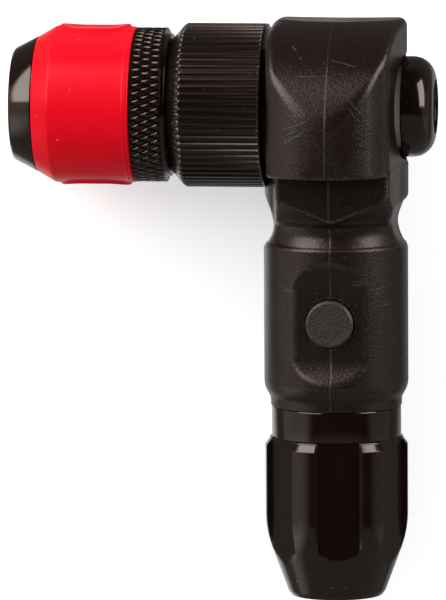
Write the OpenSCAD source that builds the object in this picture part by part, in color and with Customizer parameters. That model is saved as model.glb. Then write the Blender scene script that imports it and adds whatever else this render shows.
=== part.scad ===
// Right-angle inflator head. A locking valve chuck swivels on a moulded
// handle, a bleed button sits in the handle's front flat, and a fluted nut
// clamps the air hose on its tail.
//
// The hose mouth is the origin. The hose leaves along -Y, the handle runs
// along +Y, the chuck points along -X and the bleed button faces +Z.

/* [Handle] */
// Radius of the round grip
grip_r = 12.2; // [11.6:0.1:14]
// Length of the round grip, up to the shoulder edge
grip_len = 27; // [26:0.5:40]
// Length from the shoulder edge to the underside of the head's wings
neck_len = 13.3; // [12.5:0.1:20]
// Half width of the waist at the neck
neck_half_w = 10.1; // [9.5:0.05:11.5]
// Radius of the side grooves that form the waist
neck_groove_r = 5; // [4.5:0.1:5.6]
// Distance between the waist's grooves and the head's wings
neck_land = 3.9; // [3.5:0.1:4.5]
// Drop of the neck's front behind the grip's surface
neck_hollow = 0.9; // [0.2:0.1:1.2]
// Height of the lead-in chamfer at the grip's lower end
grip_chamfer = 2.1; // [1:0.1:3]
// Radius of the bell that joins the neck to the head
bell_r = 16.8; // [15.5:0.1:18]

/* [Head] */
// Height of the head above its wings' underside
head_h = 25.5; // [24:0.1:30]
// Half of the head's depth across the wings
head_half_depth = 19.9; // [19:0.1:21]
// Distance from the handle's axis to the chuck-side face
head_left = 10.8; // [9:0.1:13]
// Distance from the handle's axis to the cap-side face
head_right = 12.2; // [11.9:0.1:13]
// Height of the chuck's axis above the wings' underside
axis_rise = 10.5; // [9.5:0.1:12]
// Half depth of the flat panels below the wings
panel_half_depth = 13.4; // [12.8:0.1:15]
// Radius of the head's domed side section
dome_r = 20.3; // [20:0.1:22]
// Rounding of the top edge on the chuck side
top_left_round = 3.5; // [1:0.1:5]
// Rounding of the top edge on the cap side
top_right_round = 1.6; // [0.5:0.1:3]
// Radius of the wings' convex plan
wing_plan_r = 13.4; // [11.5:0.1:14]
// Sideways lean of the cap-side facets, as run over depth
facet_lean = 0.14; // [0.05:0.01:0.2]
// Sideways lean of the wings' cap-side corners, as run over depth
corner_lean = 0.63; // [0.5:0.01:0.9]
// Sideways lean of the chuck-side face beyond its flat, as run over depth
face_lean = 0.13; // [0:0.01:0.3]
// Step of the panel block behind the chuck-side face
block_step = 0.8; // [0.2:0.1:1.5]
// Sagitta of the shallow saddle along the head's top
saddle_depth = 0.4; // [0.1:0.05:0.6]
// Clearance between the rear cap and its round scoop
scoop_gap = 0.5; // [0.3:0.05:1]
// Distance from the handle's axis to the scoop's floor
scoop_floor = 9; // [8.5:0.1:9.5]

/* [Swivel] */
// Radius of the hollow spindle
spindle_r = 6; // [5.5:0.1:6.5]
// Radius of the spindle's air way
spindle_bore_r = 2; // [1.5:0.1:2.2]
// Thickness of the thrust washer between head and collar
thrust_washer_t = 0.5; // [0.4:0.1:1.5]
// Outer radius of the thrust washer and half depth of the flat behind it
thrust_washer_r = 9.5; // [8:0.5:11]
// Wire radius of the spindle's sealing rings
spindle_ring_r = 0.7; // [0.5:0.05:0.9]
// Length of the polished spacer under the rear cap
spacer_len = 2.65; // [2:0.05:5]
// Outer radius of the polished spacer
spacer_r = 6.6; // [6:0.1:7.5]
// Radius of the rear cap
cap_r = 8.5; // [8:0.1:8.8]
// Length of the rear cap
cap_len = 5.3; // [4.6:0.1:8]
// Radius of the rear cap's rounded edge
cap_round_r = 3.8; // [2:0.1:3.8]
// Radius of the shallow recess in the rear cap's end
cap_recess_r = 4.6; // [3:0.1:4.6]
// Depth of the recess in the rear cap's end
cap_recess_h = 0.5; // [0.2:0.1:0.7]
// Radius of the threaded stud inside the rear cap
cap_stud_r = 4.3; // [3:0.1:4.6]

/* [Collar] */
// Radius over the collar's ribs
collar_r = 13.85; // [13.2:0.05:15]
// Length of the collar
collar_len = 16.2; // [15:0.1:24]
// Number of straight ribs around the collar
rib_count = 68; // [48:1:80]
// Depth of the grooves between the ribs
rib_depth = 0.45; // [0.3:0.05:0.6]
// Length of the smooth land at the collar's rear
rib_land = 0.9; // [0.5:0.1:2]
// Length of the smooth cone at the collar's front
collar_cone = 2.2; // [1.5:0.1:2.6]
// Length of the web that holds the spindle's thread
web_len = 8.6; // [6:0.1:9]

/* [Locking sleeve] */
// Thickness of the sleeve around its spring
sleeve_wall = 0.9; // [0.8:0.05:1.2]
// Height of the knurled band over the sleeve's waist
band_t = 1.75; // [1.4:0.05:2.2]
// Length of the knurled band with its rear lip
band_len = 5.8; // [5.2:0.1:9]
// Thickness of the soft grip over the sleeve's waist
soft_t = 1.9; // [1.5:0.05:2.4]
// Length of the soft grip
soft_len = 16.9; // [16:0.1:24]
// Height of the soft grip's two thumb pads
pad_rise = 0.35; // [0.2:0.05:0.6]
// Length of the thumb pads along the sleeve
pad_len = 12.1; // [9:0.1:14]
// Width of the thumb pads
pad_w = 8; // [5:0.5:9]
// Length of the bare nose cone
nose_len = 4.1; // [3.6:0.1:8]
// Radius of the nose cone at its tip
nose_tip_r = 9.6; // [8.8:0.1:10.5]
// Height of the nose cone over the sleeve's waist
nose_step = 0.2; // [0.1:0.05:0.6]
// Bore of the sleeve around its spring
sleeve_bore_r = 10.4; // [10.3:0.05:10.6]
// Forward travel of the sleeve
sleeve_travel = 2.6; // [1:0.1:2.8]
// Length that the return spring keeps at the sleeve's full travel
spring_solid_len = 5.6; // [4.5:0.1:6]
// Wire radius of the sleeve's return spring
sleeve_spring_wire = 0.45; // [0.3:0.05:0.5]

/* [Valve chuck] */
// Radius of the valve inlet
valve_r = 4.1; // [4:0.05:4.3]
// Radius of the barrel's tip
tip_r = 6; // [5.8:0.05:6.2]
// Length of the inlet in front of the jaws
inlet_len = 3.7; // [3:0.1:5]
// Length of each jaw
jaw_len = 5.1; // [4:0.1:6]
// Width of each jaw
jaw_w = 5.6; // [4.5:0.1:5.8]
// Radius that the closed jaws grip
jaw_grip_r = 3.7; // [3.5:0.05:3.8]
// Radius of the sleeve's inner cone at the jaws' front
jaw_cone_r = 7.1; // [6.8:0.05:7.3]
// Slope of the sleeve's inner cone, as rise over run
jaw_slope = 0.42; // [0.3:0.01:0.45]
// Thickness of the valve seal
seal_t = 3; // [2:0.1:4]
// Outer radius of the valve seal and of the chamber behind it
seal_r = 5.6; // [5:0.1:5.8]
// Bore of the valve seal
seal_bore_r = 2.2; // [1.6:0.1:2.8]
// Thickness of the perforated seal retainer
retainer_t = 2.9; // [2:0.1:4]
// Radius of the valve-core pin
pin_r = 1; // [0.8:0.05:1.2]
// Radius of the pin's head, which bears on the retainer
pin_head_r = 3; // [2.6:0.1:3.2]
// Distance of the retainer's vents from its axis
vent_ring_r = 4; // [3.8:0.1:4.2]
// Backward travel of the pin, which takes its tip flush with the seal
pin_travel = 2.5; // [1:0.1:3]
// Outer radius of the barrel behind its flange
barrel_r = 8.4; // [8:0.1:8.6]

/* [Bleed valve] */
// Height of the button's centre above the grip's lower end
button_rise = 15; // [14.5:0.1:16]
// Radius of the button
button_r = 4.03; // [3.6:0.01:4.6]
// Depth of the front flat below the grip's surface
flat_depth = 1.7; // [1.2:0.1:2]
// Length of the front flat's level floor
flat_len = 14.85; // [13:0.05:16]
// Run of the ramps at both ends of the front flat
flat_ramp = 2.6; // [1.5:0.1:3]
// Height of the button above the front flat
button_proud = 1; // [0.6:0.1:1.2]
// Height of the button's body
button_h = 3.5; // [3:0.1:3.6]
// Travel of the button
button_travel = 1.4; // [0.5:0.1:1.5]
// Outer radius of the bleed valve's threaded seat
seat_r = 3.2; // [2.8:0.1:3.4]
// Length of the bleed valve's threaded seat
seat_len = 4.2; // [3.6:0.1:4.4]
// Radius of the bleed stem
stem_r = 0.7; // [0.5:0.05:1]

/* [Hose tail] */
// Length of the hose nut
nut_len = 27.2; // [25:0.1:36]
// Radius of the hose nut over its lands
nut_r = 12.1; // [11.6:0.1:13.5]
// Length of the nut's tapered end
nut_taper_len = 8.1; // [6:0.1:8.4]
// Angle of the nut's tapered end
nut_taper_angle = 20.4; // [15:0.1:22]
// Radius of the arc between the nut's taper and its lands
nut_blend_r = 17.5; // [12:0.5:18]
// Height of the chamfer on the nut's upper end
nut_chamfer = 1.4; // [0.8:0.1:2]
// Distance of the six flutes' floors from the axis
flute_floor = 10.45; // [10.2:0.05:10.8]
// Half width of the flutes' floors
flute_half_w = 3.57; // [2.5:0.01:4]
// Turn of the flutes about the nut's axis
flute_turn = 7.5; // [0:0.5:60]
// Radius of the hose mouth
hose_r = 5.5; // [4.5:0.1:5.8]
// Length of the hose mouth
mouth_len = 8.5; // [7:0.1:9]
// Length of the straight end of the clamp ferrule
ferrule_land = 3.9; // [2:0.1:4.5]
// Radius of the adapter's nut thread
nut_thread_r = 9; // [8.6:0.1:9.2]
// Length of the adapter's nut thread
nut_thread_len = 9.25; // [7:0.05:9.6]
// Radius of the smooth ring between nut and handle
ring_r = 10.95; // [10.4:0.05:11.3]
// Length of the smooth ring
ring_len = 5.25; // [3:0.05:8]
// Radius of the adapter's spigot in the handle
spigot_r = 8; // [7:0.1:8.4]
// Length of the adapter's spigot in the handle
spigot_len = 8.5; // [7:0.1:9]
// Radius over the hose barbs
barb_r = 3; // [2.6:0.1:3.4]
// Radius of the adapter's air way
air_r = 1.7; // [1.2:0.1:1.8]

/* [Fits] */
// Running clearance of parts that turn or slide in one another
run_gap = 0.05; // [0.03:0.01:0.08]

/* [Hidden] */

$fn = 96;
cut = 1;               // overrun of a cutting tool past a face
wall = 0.5;            // small shelf, groove or recess allowance

// Heights along the handle, from the hose mouth
ring_y = nut_len + run_gap;
grip_y = ring_y + ring_len;
shoulder_y = grip_y + grip_len;
wing_y = shoulder_y + neck_len;
neck_y = wing_y - neck_groove_r - neck_land;
chuck_y = wing_y + axis_rise;
top_y = wing_y + head_h;
button_y = grip_y + button_rise;

// Stations along the chuck, from the handle's axis
washer_x = -(head_left + run_gap);
collar_x1 = washer_x - thrust_washer_t - run_gap;
collar_x0 = collar_x1 - collar_len;
web_x = collar_x1 - web_len;
gasket_t = 0.5;
barrel_x1 = web_x - gasket_t;
sleeve_x1 = collar_x0 - 2 * run_gap;
band_x0 = sleeve_x1 - band_len;
soft_x0 = band_x0 - soft_len;
nose_x = soft_x0 - nose_len;
tip_x = nose_x + wall;
jaw_x0 = tip_x + inlet_len;
jaw_x1 = jaw_x0 + jaw_len;
seal_x0 = jaw_x1 + wall + 0.2;
retainer_x0 = seal_x0 + seal_t;
retainer_x1 = retainer_x0 + retainer_t;
flange_t = 1.5;
flange_x1 = retainer_x0 + flange_t;
cone_x0 = jaw_x0 - 0.9;
cone_x1 = retainer_x0 - 2;
bush_x1 = sleeve_x1 - wall;
bush_x0 = flange_x1 + spring_solid_len + sleeve_travel;
pin_tip_x = seal_x0 - (pin_travel - wall);
pin_head_x = retainer_x1 + run_gap;
pin_head_t = 1.2;
spacer_x0 = scoop_floor + run_gap;
cap_x0 = spacer_x0 + spacer_len;
cap_x1 = cap_x0 + cap_len;
cap_thread_len = cap_len - 1.4;

// Radii that fits share
swivel_r = spindle_r + run_gap;
passage_r = 2.5;
waist_r = sleeve_bore_r + sleeve_wall;
bush_r = sleeve_bore_r + 0.4;
flange_r = sleeve_bore_r - run_gap;
band_r = waist_r + band_t;
soft_r = waist_r + soft_t;
nose_base_r = waist_r + nose_step;
scoop_r = cap_r + scoop_gap;
jaw_room_r = valve_r + 0.2;

// Levels of the bleed valve, along +Z
flat_z = grip_r - flat_depth;
button_top = flat_z + button_proud;
button_foot = button_top - button_h;
seat_top = button_foot - button_travel - wall;
seat_foot = seat_top - seat_len;
seat_ring_r = 0.4;
seat_ring_z = seat_foot + 1.8;
stem_head_h = 0.6;
bleed_seal_t = 1;
stem_foot = seat_foot - run_gap - bleed_seal_t - stem_head_h;
button_roof = button_top - 1.3;
stem_top = button_top - wall;

// Sealing ring of the hose adapter
adapter_ring_r = 0.55;
adapter_groove_y = grip_y + 1;
adapter_groove_w = 2 * adapter_ring_r + wall;

// Levels of the hose clamp, along +Y
barb_y = mouth_len + 1;
thread_y0 = ring_y - nut_thread_len;
ferrule_y1 = thread_y0 - run_gap;
cone_y1 = ferrule_y1 - ferrule_land;
cone_end_r = nut_thread_r - 0.4;
nut_base_r = nut_r - nut_blend_r * (1 - cos(nut_taper_angle));

// Inner radius of the sleeve's cone at station x
function cone_r(x) = jaw_cone_r + jaw_slope * (x - jaw_x0);

// Points of an arc about a centre, from angle a0 to a1
function arc(centre, r, a0, a1, steps) =
    [for (i = [0:steps]) centre + r * [cos(a0 + (a1 - a0) * i / steps), sin(a0 + (a1 - a0) * i / steps)]];

// Places +Z of its children along +X, on the chuck's axis
module on_chuck() {
    translate([0, chuck_y, 0]) rotate([0, 90, 0]) children();
}

// Turns its children about the chuck's axis, from +Y towards +Z
module about_chuck(angle) {
    translate([0, chuck_y, 0]) rotate([angle, 0, 0]) children();
}

// Places +Z of its children along +Y, on the handle's axis
module on_handle() {
    rotate([-90, 0, 0]) children();
}

// Solid of revolution about the chuck's axis, from [radius, x] points
module turned_x(points) {
    on_chuck() rotate_extrude() polygon(points);
}

// Solid of revolution about the handle's axis, from [radius, y] points
module turned_y(points) {
    on_handle() rotate_extrude() polygon(points);
}

// Round bar on the chuck's axis between stations x0 and x1
module bar_x(r, x0, x1) {
    on_chuck() translate([0, 0, x0]) cylinder(r = r, h = x1 - x0);
}

// Ring on the chuck's axis between stations x0 and x1
module ring_x(r_out, r_in, x0, x1) {
    difference() {
        bar_x(r_out, x0, x1);
        bar_x(r_in, x0 - cut, x1 + cut);
    }
}

// Round bar on the handle's axis between heights y0 and y1
module bar_y(r, y0, y1) {
    on_handle() translate([0, 0, y0]) cylinder(r = r, h = y1 - y0);
}

// Round bar on the button's axis between levels z0 and z1
module bar_z(r, z0, z1) {
    translate([0, button_y, z0]) cylinder(r = r, h = z1 - z0);
}

// Extrudes a [y, z] section along X
module along_x(x0, x1) {
    translate([x0, 0, 0]) rotate([90, 0, 90]) linear_extrude(x1 - x0) children();
}

// Extrudes an [x, z] plan along Y
module along_y(y0, y1) {
    translate([0, y1, 0]) rotate([90, 0, 0]) linear_extrude(y1 - y0) children();
}

// Sealing ring of round section about the local Z axis
module o_ring(centre_r, wire_r) {
    rotate_extrude() translate([centre_r, 0]) circle(r = wire_r, $fn = 32);
}

// Helical spring along local +Z, with wire of eight sides
module coil_spring(mean_r, wire_r, len, turns) {
    sides = 8;
    per_turn = 16;
    steps = turns * per_turn;
    rise = len - 2 * wire_r;
    points = [
        for (i = [0:steps])
            for (k = [0:sides - 1])
                let (a = 360 * i / per_turn, b = 360 * k / sides, r = mean_r + wire_r * cos(b))
                    [r * cos(a), r * sin(a), wire_r + rise * i / steps + wire_r * sin(b)]
    ];
    walls = [
        for (i = [0:steps - 1])
            for (k = [0:sides - 1])
                let (n = (k + 1) % sides, p = i * sides, q = p + sides)
                    each [[p + k, p + n, q + n], [p + k, q + n, q + k]]
    ];
    start_cap = [for (k = [1:sides - 2]) [0, k + 1, k]];
    last = steps * sides;
    end_cap = [for (k = [1:sides - 2]) [last, last + k, last + k + 1]];
    polyhedron(points = points, faces = concat(walls, start_cap, end_cap), convexity = 10);
}

// ---------------------------------------------------------------- handle

// Domed side section of the head as [y, z]
module head_section() {
    intersection() {
        translate([top_y - dome_r, 0]) circle(r = dome_r);
        translate([wing_y, -dome_r]) square([head_h, 2 * dome_r]);
    }
}

// Front outline of the head as [x, y]: rounded top corners and a shallow saddle
module head_front() {
    span = head_left + head_right;
    saddle_r = (span * span / 4 + saddle_depth * saddle_depth) / (2 * saddle_depth);
    difference() {
        polygon(concat(
            [[head_right, wing_y - cut]],
            arc([head_right - top_right_round, top_y - top_right_round], top_right_round, 0, 90, 8),
            arc([top_left_round - head_left, top_y - top_left_round], top_left_round, 90, 180, 12),
            [[-head_left, wing_y - cut]]
        ));
        translate([(head_right - head_left) / 2, top_y - saddle_depth + saddle_r])
            circle(r = saddle_r, $fn = 720);
    }
}

// Plan of the head as [x, z]: convex wings between leaning faces, with its
// chuck-side face moved in by a step
module head_plan(step) {
    wing_x = -0.3;
    wing_z = head_half_depth - wing_plan_r;
    far = head_half_depth + cut;
    left = step - head_left;
    corner_x = head_right - facet_lean * panel_half_depth;
    half = [
        [left, 0], [left, thrust_washer_r],
        [left + face_lean * (far - thrust_washer_r), far],
        [corner_x - corner_lean * (far - panel_half_depth), far],
        [corner_x, panel_half_depth], [head_right, 0]
    ];
    intersection() {
        union() {
            for (side = [-1, 1]) translate([wing_x, side * wing_z]) circle(r = wing_plan_r);
            translate([left, -wing_z]) square([head_right - left, 2 * wing_z]);
            translate([left, -panel_half_depth]) square([corner_x - left, 2 * panel_half_depth]);
        }
        union() {
            polygon(half);
            mirror([0, 1]) polygon(half);
        }
    }
}

// Head block: the dome and the wings' plan meet in a crease
module head_block() {
    intersection() {
        along_x(-head_left - cut, head_right + cut) head_section();
        along_y(wing_y, top_y) head_plan(0);
        translate([0, 0, -head_half_depth - cut])
            linear_extrude(2 * (head_half_depth + cut)) head_front();
    }
}

// Waisted neck: a bell cut by the front and rear panels and the side grooves
module neck() {
    depth = 2 * panel_half_depth;
    hollow_r = grip_r - neck_hollow;
    bell_y = neck_y + neck_groove_r;
    difference() {
        intersection() {
            turned_y([
                [0, shoulder_y - cut], [grip_r, shoulder_y - cut], [grip_r, shoulder_y],
                [hollow_r, neck_y - 2 * wall], [hollow_r + wall, neck_y],
                [panel_half_depth, neck_y + 2 * wall],
                [panel_half_depth + wall, (neck_y + bell_y) / 2],
                [(panel_half_depth + 1.4 * bell_r) / 2.4, bell_y - wall],
                [bell_r, bell_y + wall], [bell_r, wing_y + cut], [0, wing_y + cut]
            ]);
            translate([-grip_r, shoulder_y - cut, -panel_half_depth])
                cube([3 * grip_r, neck_len + 2 * cut, depth]);
            union() {
                along_y(neck_y, wing_y + cut) head_plan(block_step);
                translate([-grip_r, shoulder_y - cut, -panel_half_depth])
                    cube([2 * grip_r, neck_y - shoulder_y + cut, depth]);
            }
        }
        for (side = [-1, 1])
            translate([side * (neck_half_w + neck_groove_r), neck_y, 0])
                cylinder(r = neck_groove_r, h = 3 * depth, center = true);
    }
}

// Level flat with ramped ends that the bleed button stands in
module front_flat() {
    y0 = button_y - flat_len / 2;
    y1 = button_y + flat_len / 2;
    along_x(-grip_r, grip_r)
        polygon([
            [y0, flat_z], [y1, flat_z], [y1 + 2 * flat_ramp, flat_z + 2 * flat_depth],
            [y0 - 2 * flat_ramp, flat_z + 2 * flat_depth]
        ]);
}

module handle_body() {
    lip = 0.4;
    foot_r = grip_r - 1.1;
    color("#19191b")
    difference() {
        union() {
            head_block();
            neck();
            turned_y([
                [0, grip_y], [foot_r, grip_y], [foot_r, grip_y + lip],
                [grip_r, grip_y + lip + grip_chamfer], [grip_r, shoulder_y], [0, shoulder_y]
            ]);
        }
        front_flat();
        bar_x(swivel_r, -head_left - cut, head_right + cut);
        bar_x(scoop_r, scoop_floor, head_right + cut);
        bar_y(spigot_r, grip_y - cut, grip_y + spigot_len + wall);
        bar_y(passage_r, grip_y, chuck_y);
        bar_z(button_r + 2 * run_gap, seat_top, button_top);
        bar_z(seat_r, stem_foot - button_travel - wall, button_top);
    }
}

// ------------------------------------------------------------- hose tail

module hose_adapter() {
    spigot_y1 = grip_y + spigot_len;
    groove_y1 = adapter_groove_y + adapter_groove_w;
    groove_r = spigot_r - 2 * adapter_ring_r;
    barb_pitch = (thread_y0 - barb_y) / 4;
    color("#1e1e20")
    difference() {
        turned_y(concat(
            [[0, barb_y]],
            [for (i = [0:2]) each [
                [barb_r - 0.5, barb_y + i * barb_pitch],
                [barb_r, barb_y + (i + 1) * barb_pitch - 0.3],
                [barb_r - 0.5, barb_y + (i + 1) * barb_pitch]
            ]],
            [
                [barb_r - 0.5, thread_y0], [nut_thread_r, thread_y0], [nut_thread_r, ring_y],
                [ring_r, ring_y], [ring_r, grip_y], [spigot_r, grip_y],
                [spigot_r, adapter_groove_y], [groove_r, adapter_groove_y], [groove_r, groove_y1],
                [spigot_r, groove_y1], [spigot_r, spigot_y1], [0, spigot_y1]
            ]
        ));
        bar_y(air_r, barb_y - cut, spigot_y1 + cut);
    }
}

module adapter_o_ring() {
    color("#101010")
    on_handle() translate([0, 0, adapter_groove_y + adapter_groove_w / 2])
        o_ring(spigot_r - adapter_ring_r, adapter_ring_r);
}

module hose_nut() {
    blend_y = nut_taper_len + nut_blend_r * sin(nut_taper_angle);
    edge = 0.8;
    edge_r = nut_base_r - (nut_taper_len - edge) * tan(nut_taper_angle);
    flute_out = nut_r + cut;
    flute_slope = 0.56;
    color("#1e1e20")
    difference() {
        turned_y(concat(
            [[0, 0], [edge_r - 0.6, 0], [edge_r, edge]],
            arc([nut_r - nut_blend_r, blend_y], nut_blend_r, -nut_taper_angle, 0, 6),
            [[nut_r, nut_len - nut_chamfer], [ring_r, nut_len], [0, nut_len]]
        ));
        for (i = [0:5])
            rotate([0, flute_turn + 60 * i, 0]) along_y(-cut, nut_len + cut)
                polygon([
                    [-flute_half_w, flute_floor], [flute_half_w, flute_floor],
                    [flute_half_w + flute_slope * (flute_out - flute_floor), flute_out],
                    [-flute_half_w - flute_slope * (flute_out - flute_floor), flute_out]
                ]);
        bar_y(hose_r, -cut, mouth_len + cut);
        turned_y([
            [0, mouth_len], [hose_r, mouth_len], [cone_end_r, cone_y1],
            [nut_thread_r + run_gap, cone_y1], [nut_thread_r + run_gap, nut_len + cut],
            [0, nut_len + cut]
        ]);
    }
}

module clamp_ferrule() {
    y0 = mouth_len + 2 * wall;
    cone_rise = (cone_end_r - hose_r) / (cone_y1 - mouth_len);
    foot_r = hose_r + cone_rise * (y0 - mouth_len) - run_gap;
    slit = 0.8;
    color("#d8d2c4")
    difference() {
        turned_y([
            [hose_r, y0], [foot_r, y0], [cone_end_r - run_gap, cone_y1],
            [cone_end_r - run_gap, ferrule_y1], [hose_r, ferrule_y1]
        ]);
        for (a = [0, 90])
            rotate([0, a, 0]) translate([-nut_r, y0 - cut, -slit / 2])
                cube([2 * nut_r, cone_y1 - y0 + cut, slit]);
    }
}

// ----------------------------------------------------------- bleed valve

module bleed_seat() {
    groove_half = seat_ring_r + 0.2;
    color("#b5934a")
    difference() {
        bar_z(seat_r, seat_foot, seat_top);
        bar_z(stem_r + run_gap, seat_foot - cut, seat_top + cut);
        difference() {
            bar_z(seat_r + cut, seat_ring_z - groove_half, seat_ring_z + groove_half);
            bar_z(seat_r - 2 * seat_ring_r, seat_foot, seat_top);
        }
    }
}

module bleed_seat_o_ring() {
    color("#101010")
    translate([0, button_y, seat_ring_z]) o_ring(seat_r - seat_ring_r, seat_ring_r);
}

module bleed_button() {
    edge = 0.3;
    cavity_r = button_r - 1.1;
    color("#1c1c1e")
    difference() {
        translate([0, button_y, 0]) rotate_extrude() polygon([
            [0, button_foot], [button_r, button_foot], [button_r, button_top - edge],
            [button_r - edge, button_top], [0, button_top]
        ]);
        bar_z(cavity_r, button_foot - cut, button_roof);
        bar_z(stem_r, button_foot, stem_top);
    }
}

module bleed_stem() {
    color("#c9c9c9")
    union() {
        bar_z(2.2 * stem_r, stem_foot, stem_foot + stem_head_h);
        bar_z(stem_r, stem_foot, stem_top);
    }
}

module bleed_seal() {
    z0 = stem_foot + stem_head_h;
    color("#101010")
    difference() {
        bar_z(2.6 * stem_r, z0, z0 + bleed_seal_t);
        bar_z(stem_r, z0 - cut, z0 + bleed_seal_t + cut);
    }
}

module bleed_spring() {
    wire_r = 0.2;
    color("#c9c9c9")
    translate([0, button_y, seat_top])
        coil_spring(button_r - 2.1, wire_r, button_roof - seat_top, 4);
}

// ---------------------------------------------------------------- swivel

module spindle() {
    ring_half = spindle_ring_r + 0.2;
    groove_r = spindle_r - 2 * spindle_ring_r;
    port_r = 1.4;
    color("#c4c4c6")
    difference() {
        union() {
            bar_x(spindle_r, web_x, spacer_x0);
            bar_x(cap_stud_r, web_x, cap_x0 + cap_thread_len);
        }
        bar_x(spindle_bore_r, web_x - cut, passage_r + cut);
        for (x = ring_stations())
            ring_x(spindle_r + cut, groove_r, x - ring_half, x + ring_half);
        ring_x(spindle_r + cut, spindle_r - 1, -passage_r, passage_r);
        for (a = [0, 90])
            about_chuck(a) cylinder(r = port_r, h = 3 * spindle_r, center = true);
    }
}

// Stations of the spindle's two sealing rings
function ring_stations() = [-(head_left + passage_r) / 2, (scoop_floor + passage_r) / 2];

module spindle_o_rings() {
    color("#101010")
    for (x = ring_stations())
        on_chuck() translate([0, 0, x]) o_ring(spindle_r - spindle_ring_r, spindle_ring_r);
}

module thrust_washer() {
    color("#2a2a2c")
    ring_x(thrust_washer_r, swivel_r, washer_x - thrust_washer_t, washer_x);
}

module cap_spacer() {
    color("#d4d4d6")
    ring_x(spacer_r, cap_stud_r, spacer_x0, cap_x0);
}

module rear_cap() {
    color("#151517")
    difference() {
        turned_x(concat(
            [[0, cap_x0], [cap_r, cap_x0]],
            arc([cap_r - cap_round_r, cap_x1 - cap_round_r], cap_round_r, 0, 90, 8),
            [[cap_recess_r, cap_x1], [cap_recess_r, cap_x1 - cap_recess_h], [0, cap_x1 - cap_recess_h]]
        ));
        bar_x(cap_stud_r, cap_x0 - cut, cap_x0 + cap_thread_len);
    }
}

// ---------------------------------------------------------------- collar

// Outline of the ribbed bar: a trapezoid rib and groove for each step, with
// the crests just outside the collar's own surface
module rib_outline() {
    step = 360 / rib_count;
    over = 0.02;
    polygon([
        for (i = [0:rib_count - 1])
            for (p = [[0.08, 1], [0.42, 1], [0.6, 0], [0.9, 0]])
                let (a = (i + p[0]) * step, r = collar_r + over - (rib_depth + over) * (1 - p[1]))
                    r * [cos(a), sin(a)]
    ]);
}

module ribbed_collar() {
    color("#1d1d20")
    difference() {
        turned_x([
            [0, collar_x0], [collar_r - collar_cone, collar_x0],
            [collar_r, collar_x0 + collar_cone], [collar_r, collar_x1 - 0.4],
            [collar_r - 0.55, collar_x1], [0, collar_x1]
        ]);
        on_chuck() translate([0, 0, collar_x0 - cut])
            linear_extrude(collar_len + cut - rib_land)
                difference() {
                    circle(r = collar_r + cut);
                    rib_outline();
                }
        bar_x(spindle_r, web_x - cut, collar_x1 + cut);
        bar_x(barrel_r, collar_x0 - cut, web_x);
    }
}

module barrel_gasket() {
    color("#7a2f24")
    ring_x(barrel_r, seal_r, barrel_x1, web_x);
}

// ----------------------------------------------------------- valve chuck

// Block that slides radially along +Y of the chuck, as wide as a jaw
module jaw_block(clearance) {
    translate([jaw_x0 - clearance, 0, -jaw_w / 2 - clearance])
        cube([jaw_len + 2 * clearance, 2 * barrel_r, jaw_w + 2 * clearance]);
}

module chuck_barrel() {
    shelf_x = seal_x0 - 0.3;
    color("#b9b9bc")
    difference() {
        turned_x([
            [0, tip_x], [tip_r, tip_x], [tip_r, shelf_x], [barrel_r - 0.8, shelf_x],
            [barrel_r - 0.8, retainer_x0], [flange_r, retainer_x0], [flange_r, flange_x1],
            [barrel_r, flange_x1], [barrel_r, barrel_x1], [0, barrel_x1]
        ]);
        bar_x(valve_r, tip_x - cut, jaw_x0);
        bar_x(jaw_room_r, jaw_x0, seal_x0);
        bar_x(seal_r, seal_x0, barrel_x1 + cut);
        for (a = jaw_angles()) about_chuck(a) jaw_block(run_gap);
    }
}

// Directions of the three jaws about the chuck's axis
function jaw_angles() = [90, 210, 330];

module jaw(index) {
    color("#8f8f94")
    difference() {
        intersection() {
            about_chuck(jaw_angles()[index]) jaw_block(0);
            turned_x([
                [0, jaw_x0], [cone_r(jaw_x0) - run_gap, jaw_x0],
                [cone_r(jaw_x1) - run_gap, jaw_x1], [0, jaw_x1]
            ]);
        }
        bar_x(jaw_grip_r, jaw_x0 - cut, jaw_x1 + cut);
    }
}

module jaw_1() {
    jaw(0);
}

module jaw_2() {
    jaw(1);
}

module jaw_3() {
    jaw(2);
}

module valve_seal() {
    color("#141414")
    ring_x(seal_r, seal_bore_r, seal_x0, retainer_x0);
}

module seal_retainer() {
    vent_r = 0.7;
    color("#b5934a")
    difference() {
        ring_x(seal_r, pin_r + run_gap, retainer_x0, retainer_x1);
        for (a = [0:60:300])
            about_chuck(a) translate([retainer_x0 - cut, vent_ring_r, 0]) rotate([0, 90, 0])
                cylinder(r = vent_r, h = retainer_t + 2 * cut);
    }
}

module core_pin() {
    tail_r = 1.7;
    tail_len = 3.5;
    color("#c9c9c9")
    union() {
        bar_x(pin_r, pin_tip_x, pin_head_x);
        bar_x(pin_head_r, pin_head_x, pin_head_x + pin_head_t);
        bar_x(tail_r, pin_head_x, pin_head_x + tail_len);
    }
}

module core_pin_spring() {
    foot_x = pin_head_x + pin_head_t;
    mean_r = 2.55;
    wire_r = 0.3;
    color("#c9c9c9")
    on_chuck() translate([0, 0, foot_x])
        coil_spring(mean_r, wire_r, web_x - foot_x, 8);
}

// -------------------------------------------------------- locking sleeve

module lock_sleeve() {
    lip = 0.5;
    color("#151517")
    turned_x([
        [tip_r + run_gap, nose_x], [nose_tip_r - 0.3, nose_x], [nose_tip_r, nose_x + 0.3],
        [nose_base_r, soft_x0], [waist_r, soft_x0], [waist_r, band_x0],
        [band_r, band_x0], [band_r, sleeve_x1 - lip], [band_r - 0.4, sleeve_x1],
        [bush_r, sleeve_x1], [bush_r, bush_x0], [sleeve_bore_r, bush_x0],
        [sleeve_bore_r, cone_x1], [cone_r(cone_x1), cone_x1], [cone_r(cone_x0), cone_x0],
        [tip_r + run_gap, cone_x0]
    ]);
}

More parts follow.
